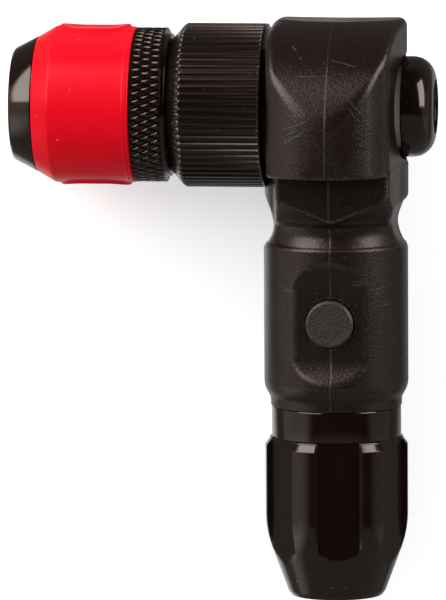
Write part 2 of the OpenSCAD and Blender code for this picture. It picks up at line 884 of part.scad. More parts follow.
module sleeve_grip() {
    lead = 3;
    pad_x = (soft_x0 + lead + band_x0) / 2 - 0.2;
    color("#e0142a")
    difference() {
        union() {
            turned_x([
                [0, soft_x0], [nose_base_r, soft_x0], [soft_r, soft_x0 + lead],
                [soft_r, band_x0 - 0.2], [0, band_x0 - 0.2]
            ]);
            intersection() {
                bar_x(soft_r + pad_rise, soft_x0, band_x0);
                for (end = [-1, 1])
                    translate([pad_x + end * (pad_len - pad_w) / 2, chuck_y, 0]) rotate([90, 0, 0])
                        cylinder(r = pad_w / 2, h = 3 * soft_r, center = true);
            }
            intersection() {
                bar_x(soft_r + pad_rise, soft_x0, band_x0);
                translate([pad_x - (pad_len - pad_w) / 2, chuck_y - 2 * soft_r, -pad_w / 2])
                    cube([pad_len - pad_w, 4 * soft_r, pad_w]);
            }
        }
        bar_x(waist_r, soft_x0 - cut, band_x0 + cut);
    }
}

module sleeve_bush() {
    color("#3a3a3d")
    ring_x(bush_r, barrel_r + run_gap, bush_x0, bush_x1);
}

module sleeve_spring() {
    color("#c9c9c9")
    on_chuck() translate([0, 0, flange_x1])
        coil_spring((barrel_r + sleeve_bore_r) / 2, sleeve_spring_wire, bush_x0 - flange_x1, 4);
}

handle_body();
hose_adapter();
adapter_o_ring();
bleed_seat();
bleed_seat_o_ring();
bleed_button();
bleed_stem();
bleed_seal();
bleed_spring();
spindle();
spindle_o_rings();
thrust_washer();
cap_spacer();
rear_cap();
ribbed_collar();
barrel_gasket();
chuck_barrel();
valve_seal();
seal_retainer();
core_pin();
core_pin_spring();
jaw_1();
jaw_2();
jaw_3();
lock_sleeve();
sleeve_grip();
sleeve_bush();
sleeve_spring();
hose_nut();
clamp_ferrule();
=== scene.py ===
"""Dressed model of a right-angle inflator head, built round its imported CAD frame.

The handle runs along +Y, the locking chuck points along -X and the bleed
button faces +Z. Sizes are in millimetres and are turned into metres where a
mesh is made.
"""

import logging
import math
from dataclasses import dataclass
from enum import Enum
from typing import Callable, Iterable, Sequence

import bpy
import numpy as np
from mathutils import Matrix, Vector


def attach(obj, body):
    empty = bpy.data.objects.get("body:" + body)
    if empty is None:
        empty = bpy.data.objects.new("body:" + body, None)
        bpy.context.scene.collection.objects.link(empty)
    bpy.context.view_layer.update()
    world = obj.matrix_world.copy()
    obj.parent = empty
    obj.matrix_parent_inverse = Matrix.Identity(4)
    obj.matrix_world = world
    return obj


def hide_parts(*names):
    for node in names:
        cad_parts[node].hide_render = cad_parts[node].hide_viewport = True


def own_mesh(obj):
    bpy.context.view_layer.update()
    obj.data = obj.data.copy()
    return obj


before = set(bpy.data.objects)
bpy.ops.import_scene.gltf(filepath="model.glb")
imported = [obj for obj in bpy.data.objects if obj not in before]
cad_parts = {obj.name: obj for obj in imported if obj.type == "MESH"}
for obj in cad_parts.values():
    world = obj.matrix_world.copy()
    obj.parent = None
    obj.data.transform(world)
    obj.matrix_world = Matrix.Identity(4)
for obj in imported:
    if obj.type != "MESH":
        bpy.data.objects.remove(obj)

LOG = logging.getLogger("inflator")
MM = 0.001
TAU = math.tau
CHUCK_Y = 83.3
BUTTON_Y = 47.5
WARM = (1.0, 0.84, 0.76, 1.0)
WHITE = (1.0, 1.0, 1.0, 1.0)
Point = tuple[float, float]
Corner = tuple[float, float, float]
Colour = tuple[float, float, float, float]
Socket = bpy.types.NodeSocket
Field = np.ndarray


class Axis(Enum):
    """Axis that a turned piece is spun about.

    Each has a point on it in millimetres, its direction, and the direction in
    which the radii of a profile are drawn.
    """

    HANDLE = ((0.0, 0.0, 0.0), (0.0, 1.0, 0.0), (1.0, 0.0, 0.0))
    CHUCK = ((0.0, CHUCK_Y, 0.0), (1.0, 0.0, 0.0), (0.0, 1.0, 0.0))
    BUTTON = ((0.0, BUTTON_Y, 0.0), (0.0, 0.0, 1.0), (1.0, 0.0, 0.0))

    @property
    def centre(self) -> Vector:
        """Point on the axis, in metres."""
        return Vector([part * MM for part in self.value[0]])

    @property
    def direction(self) -> Vector:
        """Direction of the axis."""
        return Vector(self.value[1])

    def point(self, along: float, radius: float) -> Vector:
        """Point of a profile.

        Args:
            along: Station along the axis in millimetres.
            radius: Distance from the axis in millimetres.

        Returns:
            The point in metres, in the plane where the profile is drawn.
        """
        return Vector([c + a * along + r * radius for c, a, r in zip(*self.value)]) * MM


# ------------------------------------------------------------------ modelling

class Editing:
    """Edit mode on all of one piece, for the length of a with block."""

    def __init__(self, piece: bpy.types.Object) -> None:
        """Keep the piece that is edited."""
        self.piece = piece

    def __enter__(self) -> None:
        """Enter edit mode with all of the piece selected."""
        Bench.take(self.piece)
        bpy.ops.object.mode_set(mode="EDIT")
        bpy.ops.mesh.select_all(action="SELECT")

    def __exit__(self, *problem: object) -> None:
        """Go back to object mode."""
        bpy.ops.object.mode_set(mode="OBJECT")


class Bench:
    """Operations that the pieces are modelled with."""

    @staticmethod
    def take(piece: bpy.types.Object) -> None:
        """Make one object the only selected and the active one.

        Args:
            piece: Object to work on.
        """
        if bpy.context.object and bpy.context.object.mode != "OBJECT":
            bpy.ops.object.mode_set(mode="OBJECT")
        bpy.ops.object.select_all(action="DESELECT")
        piece.select_set(True)
        bpy.context.view_layer.objects.active = piece

    @staticmethod
    def named(name: str) -> bpy.types.Object:
        """Name the primitive just added and put its place in its mesh.

        Args:
            name: Name of the object and its mesh.

        Returns:
            The new object, at the origin.
        """
        piece = bpy.context.object
        piece.name = piece.data.name = name
        bpy.ops.object.transform_apply(location=True, rotation=True, scale=True)
        return piece

    @staticmethod
    def draw(name: str, axis: Axis, profile: Sequence[Point]) -> bpy.types.Object:
        """Draw a turned profile by extruding one vertex from point to point.

        Args:
            name: Name of the new object.
            axis: Axis that the profile will be spun about.
            profile: Station and radius of each point, in millimetres.

        Returns:
            An object that holds the line.
        """
        points = [axis.point(along, radius) for along, radius in profile]
        bpy.ops.object.select_all(action="DESELECT")
        bpy.ops.mesh.primitive_plane_add(size=MM, location=points[0])
        piece = Bench.named(name)
        with Editing(piece):
            bpy.ops.mesh.merge(type="CENTER")
            for start, end in zip(points, points[1:]):
                bpy.ops.mesh.extrude_region_move(
                    TRANSFORM_OT_translate={"value": tuple(end - start)})
        return piece

    @staticmethod
    def spin(piece: bpy.types.Object, axis: Axis, steps: int, angle: float = TAU,
             copies: bool = False) -> None:
        """Spin all of a piece about an axis.

        Args:
            piece: Object to spin.
            axis: Axis of the spin.
            steps: Number of steps.
            angle: Angle of the whole spin in radians.
            copies: Whether copies are made instead of a surface.
        """
        with Editing(piece):
            bpy.ops.mesh.spin(steps=steps, dupli=copies, angle=angle, center=axis.centre,
                              axis=axis.direction)

    @staticmethod
    def repeat(piece: bpy.types.Object, axis: Axis, count: int) -> None:
        """Copy a sector of a piece round an axis until the turn is full.

        Args:
            piece: Object that holds one sector.
            axis: Axis of the copies.
            count: Number of sectors in the turn.
        """
        Bench.spin(piece, axis, count - 1, TAU * (count - 1) / count, copies=True)

    @staticmethod
    def close(piece: bpy.types.Object, gap: float = 2e-6) -> None:
        """Merge doubles and turn all faces outwards.

        Args:
            piece: Object to close.
            gap: Distance in metres below which points are one.
        """
        with Editing(piece):
            bpy.ops.mesh.remove_doubles(threshold=gap)
            bpy.ops.mesh.dissolve_degenerate(threshold=gap)
            bpy.ops.mesh.select_all(action="SELECT")
            bpy.ops.mesh.normals_make_consistent(inside=False)

    @staticmethod
    def modify(piece: bpy.types.Object, kind: str, **settings: object) -> None:
        """Add a modifier and apply it.

        Args:
            piece: Object to change.
            kind: Modifier type.
            settings: Values of the modifier's properties.
        """
        Bench.take(piece)
        modifier = piece.modifiers.new(kind.title(), kind)
        for key, value in settings.items():
            setattr(modifier, key, value)
        bpy.ops.object.modifier_apply(modifier=modifier.name)

    @staticmethod
    def cut(piece: bpy.types.Object, tool: bpy.types.Object) -> None:
        """Cut a closed tool out of a piece and drop the tool.

        Args:
            piece: Object that is cut.
            tool: Closed object that is taken away.
        """
        Bench.modify(piece, "BOOLEAN", operation="DIFFERENCE", solver="EXACT", object=tool)
        bpy.data.objects.remove(tool, do_unlink=True)

    @staticmethod
    def join(pieces: Sequence[bpy.types.Object]) -> bpy.types.Object:
        """Join several objects into the first.

        Args:
            pieces: Objects to join.

        Returns:
            The first object, which now holds all.
        """
        Bench.take(pieces[0])
        for piece in pieces[1:]:
            piece.select_set(True)
        bpy.ops.object.join()
        return pieces[0]

    @staticmethod
    def points(piece: bpy.types.Object) -> np.ndarray:
        """Vertices of a piece in millimetres.

        Args:
            piece: Mesh object at the origin.

        Returns:
            Array of n by 3 positions.
        """
        flat = np.empty(len(piece.data.vertices) * 3)
        piece.data.vertices.foreach_get("co", flat)
        return flat.reshape(-1, 3) / MM

    @staticmethod
    def move(piece: bpy.types.Object, points: np.ndarray) -> None:
        """Write vertex positions back to a piece.

        Args:
            piece: Mesh object at the origin.
            points: Array of n by 3 positions in millimetres.
        """
        piece.data.vertices.foreach_set("co", (points * MM).ravel())
        piece.data.update()

    @staticmethod
    def press(piece: bpy.types.Object, axis: Axis,
              radii: Callable[[Field, Field, Field], Field]) -> None:
        """Give every vertex a new distance from an axis.

        Args:
            piece: Mesh object at the origin.
            axis: Axis that distances are taken from.
            radii: Function of stations, radii and angles that gives the new radii.
        """
        centre, direction, out = (np.array(part) for part in axis.value)
        p = Bench.points(piece) - centre
        along = p @ direction
        off = p - along[:, None] * direction
        r = np.linalg.norm(off, axis=1)
        angle = np.arctan2(off @ np.cross(direction, out), off @ out)
        scale = radii(along, r, angle) / np.maximum(r, 1e-6)
        Bench.move(piece, centre + along[:, None] * direction + off * scale[:, None])

    @staticmethod
    def smooth(piece: bpy.types.Object, angle: float = 34.0) -> None:
        """Shade smooth, with edges sharper than an angle kept.

        Args:
            piece: Object to shade.
            angle: Angle in degrees.
        """
        Bench.take(piece)
        bpy.ops.object.shade_smooth_by_angle(angle=math.radians(angle))


def rounded(corners: Iterable[Corner], steps: int = 4) -> list[Point]:
    """Profile whose corners are rounded by arcs.

    Args:
        corners: Station, radius and rounding of each corner, in millimetres.
        steps: Number of segments of each arc.

    Returns:
        Points of the profile from first to last corner.
    """
    knots = [(Vector((a, b)), r) for a, b, r in corners]
    line: list[Point] = []
    for index, (knot, radius) in enumerate(knots):
        if radius <= 0 or index in (0, len(knots) - 1):
            line.append((knot.x, knot.y))
            continue
        back = (knots[index - 1][0] - knot).normalized()
        ahead = (knots[index + 1][0] - knot).normalized()
        half = back.angle(ahead) / 2
        reach = radius / math.tan(half)
        centre = knot + (back + ahead).normalized() * radius / math.sin(half)
        start = knot + back * reach - centre
        sweep = (knot + ahead * reach - centre).angle_signed(start)
        for step in range(steps + 1):
            spot = centre + Matrix.Rotation(sweep * step / steps, 2) @ start
            line.append((spot.x, spot.y))
    return line


def turned(name: str, axis: Axis, profile: Sequence[Point], steps: int = 128,
           angle: float = 34.0) -> bpy.types.Object:
    """Turned piece: a drawn profile spun all the way round.

    Args:
        name: Name of the piece.
        axis: Axis of the piece.
        profile: Station and radius of each point, in millimetres.
        steps: Number of steps round the axis.
        angle: Angle in degrees above which edges stay sharp.

    Returns:
        The closed piece.
    """
    piece = Bench.draw(name, axis, profile)
    Bench.spin(piece, axis, steps)
    Bench.close(piece)
    Bench.smooth(piece, angle)
    return piece


def ring_of(corners: Sequence[Corner], steps: int = 4) -> list[Point]:
    """Closed profile for a ring, with every corner but the first rounded.

    Args:
        corners: Station, radius and rounding of each corner.
        steps: Number of segments of each arc.

    Returns:
        Points of the profile, ending where it began.
    """
    return rounded([*corners, (*corners[0][:2], 0.0)], steps)


def coil_spring(name: str, axis: Axis, start: float, end: float, mean_r: float, wire_r: float,
                turns: int) -> bpy.types.Object:
    """Coil spring made with a Screw modifier.

    Args:
        name: Name of the piece.
        axis: Axis of the coil.
        start: Station of its first end in millimetres.
        end: Station of its other end.
        mean_r: Mean radius of the coil.
        wire_r: Radius of the wire.
        turns: Number of turns.

    Returns:
        The closed coil.
    """
    bpy.ops.object.select_all(action="DESELECT")
    bpy.ops.mesh.primitive_circle_add(vertices=8, radius=wire_r * MM, fill_type="NGON",
                                      rotation=(math.pi / 2, 0, 0))
    piece = Bench.named(name)
    with Editing(piece):
        bpy.ops.transform.translate(value=(mean_r * MM, 0, wire_r * MM))
    rise = (end - start - 2 * wire_r) * MM / turns
    Bench.modify(piece, "SCREW", angle=TAU, screw_offset=rise, iterations=turns, steps=28,
                 render_steps=28, use_merge_vertices=True)
    turn = Vector((0, 0, 1)).rotation_difference(axis.direction).to_matrix().to_4x4()
    foot = axis.centre + axis.direction * start * MM
    piece.data.transform(Matrix.Translation(foot) @ turn)
    Bench.close(piece, 1e-6)
    Bench.smooth(piece, 60)
    return piece


# ------------------------------------------------------------------ materials

class Graph:
    """Adds and links the nodes of one shader tree."""

    def __init__(self, tree: bpy.types.NodeTree) -> None:
        """Keep the tree to work in."""
        self.tree = tree

    def add(self, kind: str, **settings: object) -> bpy.types.Node:
        """Add a node.

        Args:
            kind: Node type without its ShaderNode prefix.
            settings: Properties of the node.

        Returns:
            The new node.
        """
        prefix = "" if kind.startswith("Node") else "ShaderNode"
        node = self.tree.nodes.new(prefix + kind)
        for key, value in settings.items():
            setattr(node, key, value)
        return node

    def feed(self, target: Socket, source: object) -> None:
        """Link a socket to an input, or set the input to a number or colour.

        Args:
            target: Input socket.
            source: Output socket, number or tuple.
        """
        if isinstance(source, bpy.types.NodeSocket):
            self.tree.links.new(source, target)
        else:
            target.default_value = source

    def fill(self, node: bpy.types.Node, *values: object) -> Socket:
        """Feed a node's inputs from the first on.

        Args:
            node: Node whose inputs are fed.
            values: Sockets, numbers or tuples, in the order of the inputs.

        Returns:
            The node's first output.
        """
        for target, value in zip(node.inputs, values):
            self.feed(target, value)
        return node.outputs[0]

    def maths(self, operation: str, *values: object, clamp: bool = False) -> Socket:
        """Add a Math node.

        Args:
            operation: Name of the operation.
            values: Sockets or numbers of its inputs.
            clamp: Whether the result is held between 0 and 1.

        Returns:
            The node's output.
        """
        return self.fill(self.add("Math", operation=operation, use_clamp=clamp), *values)

    def chain(self, operation: str, *values: object) -> Socket:
        """Join several values by one operation.

        Args:
            operation: Name of the operation, such as MULTIPLY or MAXIMUM.
            values: Two or more sockets or numbers.

        Returns:
            The joint value.
        """
        result = values[0]
        for value in values[1:]:
            result = self.maths(operation, result, value)
        return result

    def vector(self, operation: str, first: object, second: object = None) -> Socket:
        """Add a Vector Math node.

        Args:
            operation: Name of the operation.
            first: First vector.
            second: Second vector, or the factor of a scale.

        Returns:
            The vector, or the number where the operation gives one.
        """
        node = self.add("VectorMath", operation=operation)
        self.feed(node.inputs[0], first)
        if second is not None:
            self.feed(node.inputs["Scale" if operation == "SCALE" else 1], second)
        return node.outputs[1 if operation in ("DOT_PRODUCT", "LENGTH") else 0]

    def spot(self, *parts: object) -> Socket:
        """Combine up to three numbers into a vector."""
        return self.fill(self.add("CombineXYZ"), *parts)

    def split(self, vector: Socket) -> bpy.types.NodeOutputs:
        """Outputs X, Y and Z of a vector."""
        node = self.add("SeparateXYZ")
        self.fill(node, vector)
        return node.outputs

    def blend(self, mask: object, low: object, high: object) -> Socket:
        """Mix two colours by a mask.

        Args:
            mask: Socket or number from 0 to 1.
            low: Colour where the mask is 0.
            high: Colour where the mask is 1.

        Returns:
            The mixed colour.
        """
        node = self.add("Mix", data_type="RGBA")
        for index, value in ((0, mask), (6, low), (7, high)):
            self.feed(node.inputs[index], value)
        return node.outputs[2]

    def either(self, mask: object, low: object, high: object) -> Socket:
        """Mix two numbers by a mask.

        Args:
            mask: Socket or number from 0 to 1.
            low: Number where the mask is 0.
            high: Number where the mask is 1.

        Returns:
            The mixed number.
        """
        node = self.add("Mix", data_type="FLOAT")
        for index, value in ((0, mask), (2, low), (3, high)):
            self.feed(node.inputs[index], value)
        return node.outputs[0]

    def span(self, value: object, low: object, high: object, to_low: float = 0.0,
             to_high: float = 1.0, smooth: bool = False) -> Socket:
        """Map a value from one range to another, held at its ends.

        Args:
            value: Socket to map.
            low: Start of the range.
            high: End of the range.
            to_low: Result at the start.
            to_high: Result at the end.
            smooth: Whether the ramp is eased at its ends.

        Returns:
            The mapped value.
        """
        node = self.add("MapRange", clamp=True)
        if smooth:
            node.interpolation_type = "SMOOTHSTEP"
        return self.fill(node, value, low, high, to_low, to_high)

    def noise(self, where: Socket, scale: object, detail: float = 2.0,
              roughness: float = 0.5) -> Socket:
        """Add a noise pattern.

        Args:
            where: Coordinates.
            scale: Scale in cells per metre.
            detail: Octaves.
            roughness: Weight of the octaves.

        Returns:
            The pattern from 0 to 1.
        """
        node = self.add("TexNoise")
        for label, value in (("Vector", where), ("Scale", scale), ("Detail", detail),
                             ("Roughness", roughness)):
            self.feed(node.inputs[label], value)
        return node.outputs[0]

    def place(self) -> Socket:
        """Object coordinates of the piece."""
        return self.add("TexCoord").outputs["Object"]


@dataclass(frozen=True)
class Effect:
    """Surface effect that the finishes share: a node group that is made once."""

    name: str
    inputs: dict[str, float]
    outputs: tuple[str, ...]
    nodes: Callable[[Graph, bpy.types.NodeOutputs], tuple[Socket, ...]]

    def group(self) -> bpy.types.NodeTree:
        """Make the group, or find the one made before.

        Returns:
            The node group.
        """
        found = bpy.data.node_groups.get(self.name)
        if found:
            return found
        tree = bpy.data.node_groups.new(self.name, "ShaderNodeTree")
        for label, value in self.inputs.items():
            tree.interface.new_socket(
                label, in_out="INPUT", socket_type="NodeSocketFloat").default_value = value
        for label in self.outputs:
            tree.interface.new_socket(label, in_out="OUTPUT", socket_type="NodeSocketFloat")
        graph = Graph(tree)
        source, sink = graph.add("NodeGroupInput"), graph.add("NodeGroupOutput")
        for target, value in zip(sink.inputs, self.nodes(graph, source.outputs)):
            graph.feed(target, value)
        return tree

    def use(self, graph: Graph, **values: object) -> bpy.types.NodeOutputs:
        """Place the group in a material.

        Args:
            graph: Graph of the material.
            values: Inputs by name, with underscores for spaces.

        Returns:
            The group's outputs.
        """
        node = graph.add("Group", node_tree=self.group())
        for label, value in values.items():
            graph.feed(node.inputs[label.replace("_", " ")], value)
        return node.outputs


def speck_nodes(graph: Graph, given: bpy.types.NodeOutputs) -> tuple[Socket, ...]:
    """Cells of which a few hold a round dot of random size, as dust does.

    Args:
        graph: Graph of the group.
        given: Inputs of the group.

    Returns:
        The mask of the dots.
    """
    cell = graph.add("TexVoronoi", feature="F1")
    graph.feed(cell.inputs["Vector"], graph.place())
    graph.feed(cell.inputs["Scale"], given["Scale"])
    chance = graph.add("SeparateColor")
    graph.feed(chance.inputs[0], cell.outputs["Color"])
    few = graph.maths("LESS_THAN", chance.outputs[0], given["Density"])
    size = graph.maths("MULTIPLY_ADD", chance.outputs[1], given["Size"], 0.05)
    near = graph.maths("DIVIDE", cell.outputs["Distance"], size)
    return (graph.maths("MULTIPLY", graph.span(near, 0.5, 1.0, 1.0, 0.0), few),)


def scratch_nodes(graph: Graph, given: bpy.types.NodeOutputs) -> tuple[Socket, ...]:
    """Hairlines along the contours of stretched noise, kept inside blotches.

    Args:
        graph: Graph of the group.
        given: Inputs of the group.

    Returns:
        The mask of the hairlines.
    """
    where = graph.place()
    masks = []
    for turn, shift in ((0.9, 0.0), (-0.5, 3.1)):
        mapping = graph.add("Mapping")
        for label, value in (("Vector", where), ("Location", (shift, 0.0, 0.0)),
                             ("Rotation", (0.3, 0.2, turn)), ("Scale", (1.0, 9.0, 1.0))):
            graph.feed(mapping.inputs[label], value)
        wave = graph.noise(mapping.outputs[0], given["Scale"], 3.0)
        off = graph.maths("ABSOLUTE", graph.maths("SUBTRACT", wave, 0.5))
        masks.append(graph.span(off, 0.002, 0.006, 1.0, 0.0))
    patch = graph.noise(where, 160.0, 2.0)
    level = graph.maths("SUBTRACT", 0.72, graph.maths("MULTIPLY", given["Amount"], 0.25))
    inside = graph.maths("MULTIPLY", graph.maths("SUBTRACT", patch, level), 14.0, clamp=True)
    return (graph.maths("MULTIPLY", graph.maths("MAXIMUM", *masks), inside),)


def nick_nodes(graph: Graph, given: bpy.types.NodeOutputs) -> tuple[Socket, ...]:
    """One wavering scratch on the front, between two points in millimetres.

    Args:
        graph: Graph of the group.
        given: Inputs of the group.

    Returns:
        The mask of the scratch.
    """
    where = graph.vector("SCALE", graph.place(), 1 / MM)
    x, y, z = graph.split(where)
    waver = graph.maths("MULTIPLY", graph.maths("SUBTRACT", graph.noise(where, 0.9), 0.5), 0.5)
    flat = graph.spot(graph.maths("ADD", x, waver), graph.maths("ADD", y, waver))
    start = graph.spot(given["X0"], given["Y0"])
    along = graph.vector("SUBTRACT", graph.spot(given["X1"], given["Y1"]), start)
    out = graph.vector("SUBTRACT", flat, start)
    share = graph.maths("DIVIDE", graph.vector("DOT_PRODUCT", out, along),
                        graph.vector("DOT_PRODUCT", along, along), clamp=True)
    near = graph.vector("SCALE", along, share)
    gap = graph.vector("LENGTH", graph.vector("SUBTRACT", out, near))
    core = graph.maths("MULTIPLY", given["Width"], 0.3)
    line = graph.span(gap, core, given["Width"], 1.0, 0.0)
    return (graph.maths("MULTIPLY", line, graph.maths("GREATER_THAN", z, 0.0)),)


def grain_nodes(graph: Graph, given: bpy.types.NodeOutputs) -> tuple[Socket, ...]:
    """Fine surface grain, and a slow change over the piece.

    Args:
        graph: Graph of the group.
        given: Inputs of the group.

    Returns:
        The fine and the broad pattern.
    """
    where = graph.place()
    broad = graph.maths("DIVIDE", given["Scale"], 25.0)
    return graph.noise(where, given["Scale"], 3.0, 0.6), graph.noise(where, broad)


def mark_nodes(graph: Graph, given: bpy.types.NodeOutputs) -> tuple[Socket, ...]:
    """Fine turning lines: noise that changes only along one axis.

    Args:
        graph: Graph of the group.
        given: Inputs of the group.

    Returns:
        The height of the lines.
    """
    x, y, _ = graph.split(graph.place())
    along = graph.spot(graph.either(given["Along Y"], x, y))
    return (graph.noise(along, given["Scale"], 2.0, 0.7),)


SPECKS = Effect("specks", {"Scale": 2500.0, "Density": 0.1, "Size": 0.35}, ("Mask",), speck_nodes)
SCRATCHES = Effect("scratches", {"Scale": 120.0, "Amount": 0.5}, ("Mask",), scratch_nodes)
NICK = Effect("nick", {"X0": 0.0, "Y0": 0.0, "X1": 1.0, "Y1": 1.0, "Width": 0.12}, ("Mask",),
              nick_nodes)
GRAIN = Effect("grain", {"Scale": 3000.0}, ("Height", "Drift"), grain_nodes)
MARKS = Effect("tool_marks", {"Scale": 9000.0, "Along Y": 0.0}, ("Height",), mark_nodes)


class Skin(Graph):
    """Nodes of one material round its Principled shader."""

    def __init__(self, material: bpy.types.Material) -> None:
        """Start from the material's own shader."""
        super().__init__(material.node_tree)
        self.shader = material.node_tree.nodes["Principled BSDF"]

    def set(self, **values: object) -> None:
        """Set or link the shader's sockets.

        Args:
            values: Numbers, colours or sockets by name, with underscores for spaces.
        """
        for label, value in values.items():
            self.feed(self.shader.inputs[label.replace("_", " ")], value)

    def cover(self, base: object, *layers: tuple[Socket, float, Colour]) -> None:
        """Lay colours over each other and link the result to the shader.

        Args:
            base: Lowest colour.
            layers: Mask, share and colour of each layer above it.
        """
        for mask, share, colour in layers:
            base = self.blend(self.maths("MULTIPLY", mask, share), base, colour)
        self.set(Base_Color=base)

    def roughen(self, gloss: float, pattern: Socket, down: float, up: float) -> Socket:
        """Vary the roughness with a pattern.

        Args:
            gloss: Roughness that the change is added to.
            pattern: Pattern from 0 to 1.
            down: Change where the pattern is low.
            up: Change where it is high.

        Returns:
            The roughness, which is linked to the shader.
        """
        level = self.maths("ADD", gloss, self.span(pattern, 0.3, 0.7, down, up))
        self.set(Roughness=level)
        return level

    def bump(self, height: Socket, depth: float) -> None:
        """Link a height to the shader's normal.

        Args:
            height: Height from 0 to 1.
            depth: Height of 1 in millimetres.
        """
        node = self.add("Bump")
        for label, value in (("Strength", 1.0), ("Distance", depth * MM), ("Height", height)):
            self.feed(node.inputs[label], value)
        self.set(Normal=node.outputs[0])


@dataclass(frozen=True)
class Finish:
    """Base of the finishes: a named material with one Principled shader."""

    name: str

    def made(self) -> bpy.types.Material:
        """Make the material on first use, and find it later.

        Returns:
            The material.
        """
        name = f"{self.name}_finish"
        found = bpy.data.materials.get(name)
        if found:
            return found
        material = bpy.data.materials.new(name)
        material.use_nodes = True
        self.dress(Skin(material))
        return material

    def dress(self, skin: Skin) -> None:
        """Set and link the shader's sockets; each finish has its own way."""
        raise NotImplementedError


@dataclass(frozen=True)
class Nylon(Finish):
    """Black glass-filled nylon: fine grain, a parting line with a faint painted highlight, edges
    worn pale with a painted highlight on them, and scratches.

    A nick is given by its start, its end and its width, in millimetres. The
    shares say how far each mark turns the colour to the pale one.
    """

    colour: Colour = (0.0098, 0.0046, 0.0029, 1.0)
    pale: Colour = (0.2, 0.185, 0.17, 1.0)
    gloss: float = 0.3
    speck_share: float = 0.16
    # Share of pale on convex edges: partly wear, partly a painted highlight along the ridges.
    wear_and_highlight_share: float = 0.3
    # Share of pale along the parting ridge: a painted highlight.
    parting_highlight_share: float = 0.05
    nick_share: float = 0.32
    nick_rough: float = 0.15
    parting_x: float = 0.2
    parting_w: Point = (0.05, 0.15)
    speck_height: float = 0.3
    parting_height: float = 1.2
    depth: float = 0.055
    nicks: tuple[tuple[float, ...], ...] = (
        (-6.9, 81.2, -2.95, 82.7, 0.09), (-6.9, 78.8, -3.4, 80.95, 0.09),
        (-6.2, 80.3, -4.4, 81.3, 0.06), (-5.9, 94.5, -5.2, 93.9, 0.1),
        (-4.5, 92.9, -4.1, 92.5, 0.08), (-4.6, 90.0, -1.4, 89.9, 0.05),
        (-6.1, 85.4, -3.6, 83.4, 0.05), (-6.6, 84.3, -4.2, 82.2, 0.05),
        (-5.5, 85.6, -3.1, 84.0, 0.05), (0.8, 92.6, 4.9, 91.4, 0.05),
        (4.0, 85.2, 6.0, 82.6, 0.05), (4.4, 86.0, 6.4, 83.8, 0.05),
    )

    def dress(self, skin: Skin) -> None:
        """Mark the moulding and set its gloss.

        Args:
            skin: Nodes of the material.
        """
        grain = GRAIN.use(skin, Scale=2100.0)
        specks = SPECKS.use(skin, Scale=2900.0, Density=0.4, Size=0.26)["Mask"]
        edge = skin.add("Attribute", attribute_name="edge").outputs["Fac"]
        # Convex edges are turned pale: partly wear, partly a painted highlight along the ridges.
        wear_and_highlight = skin.maths("MULTIPLY", edge, skin.span(grain["Height"], 0.4, 0.6), clamp=True)
        nicked = skin.chain(
            "MAXIMUM", SCRATCHES.use(skin, Scale=110.0, Amount=0.25)["Mask"],
            *(NICK.use(skin, X0=x0, Y0=y0, X1=x1, Y1=y1, Width=width)["Mask"]
              for x0, y0, x1, y1, width in self.nicks))
        across = skin.split(skin.place())["X"]
        # The parting line's faint pale tone is a painted highlight along the ridge; its bump is the
        # ridge itself.
        off = skin.maths("ABSOLUTE", skin.maths("SUBTRACT", across, self.parting_x * MM))
        parting = skin.span(off, self.parting_w[0] * MM, self.parting_w[1] * MM, 1.0, 0.0)
        skin.cover(self.colour, (specks, self.speck_share, self.pale),
                   (wear_and_highlight, self.wear_and_highlight_share, self.pale), (parting, self.parting_highlight_share, self.pale),
                   (nicked, self.nick_share, self.pale))
        rough = skin.roughen(self.gloss, grain["Drift"], -0.03, 0.07)
        skin.set(Roughness=skin.maths("MULTIPLY_ADD", nicked, self.nick_rough, rough),
                 Specular_Tint=WARM, Specular_IOR_Level=0.6)
        height = skin.maths("MULTIPLY_ADD", specks, self.speck_height, grain["Height"])
        skin.bump(skin.maths("MULTIPLY_ADD", parting, self.parting_height, height), self.depth)


@dataclass(frozen=True)
class Anodised(Finish):
    """Black anodised aluminium, turned and either glossy or satin."""

    colour: Colour = (0.0082, 0.0034, 0.0022, 1.0)
    gloss: float = 0.1
    along_y: float = 0.0
    dust: Colour = (0.22, 0.2, 0.2, 1.0)
    marks: float = 0.003

    def dress(self, skin: Skin) -> None:
        """Add turning lines and a little dust.

        Args:
            skin: Nodes of the material.
        """
        specks = SPECKS.use(skin, Scale=1300.0, Density=0.05, Size=0.2)["Mask"]
        skin.cover(self.colour, (specks, 0.5, self.dust))
        skin.roughen(self.gloss, GRAIN.use(skin, Scale=1500.0)["Drift"], -0.03, 0.05)
        skin.set(Specular_IOR_Level=0.8, Specular_Tint=WARM)
        skin.bump(MARKS.use(skin, Scale=7000.0, Along_Y=self.along_y)["Height"], self.marks)


@dataclass(frozen=True)
class Elastomer(Finish):
    """Soft moulded rubber with a fine matt grain and a little dust."""

    colour: Colour = (0.84, 0.001, 0.012, 1.0)
    dust: Colour = (0.9, 0.4, 0.4, 1.0)
    gloss: float = 0.3
    density: float = 0.05
    grit: float = 0.012

    def dress(self, skin: Skin) -> None:
        """Add the grain, a slow change of shade and the dust.

        Args:
            skin: Nodes of the material.
        """
        grain = GRAIN.use(skin, Scale=4200.0)
        specks = SPECKS.use(skin, Scale=1400.0, Density=self.density, Size=0.22)["Mask"]
        shade = tuple(0.94 * c for c in self.colour[:3]) + (1.0,)
        base = skin.blend(skin.span(grain["Drift"], 0.35, 0.65), shade, self.colour)
        skin.cover(base, (specks, 0.6, self.dust))
        skin.roughen(self.gloss, grain["Height"], -0.03, 0.05)
        skin.set(Specular_IOR_Level=0.15)
        skin.bump(grain["Height"], self.grit)


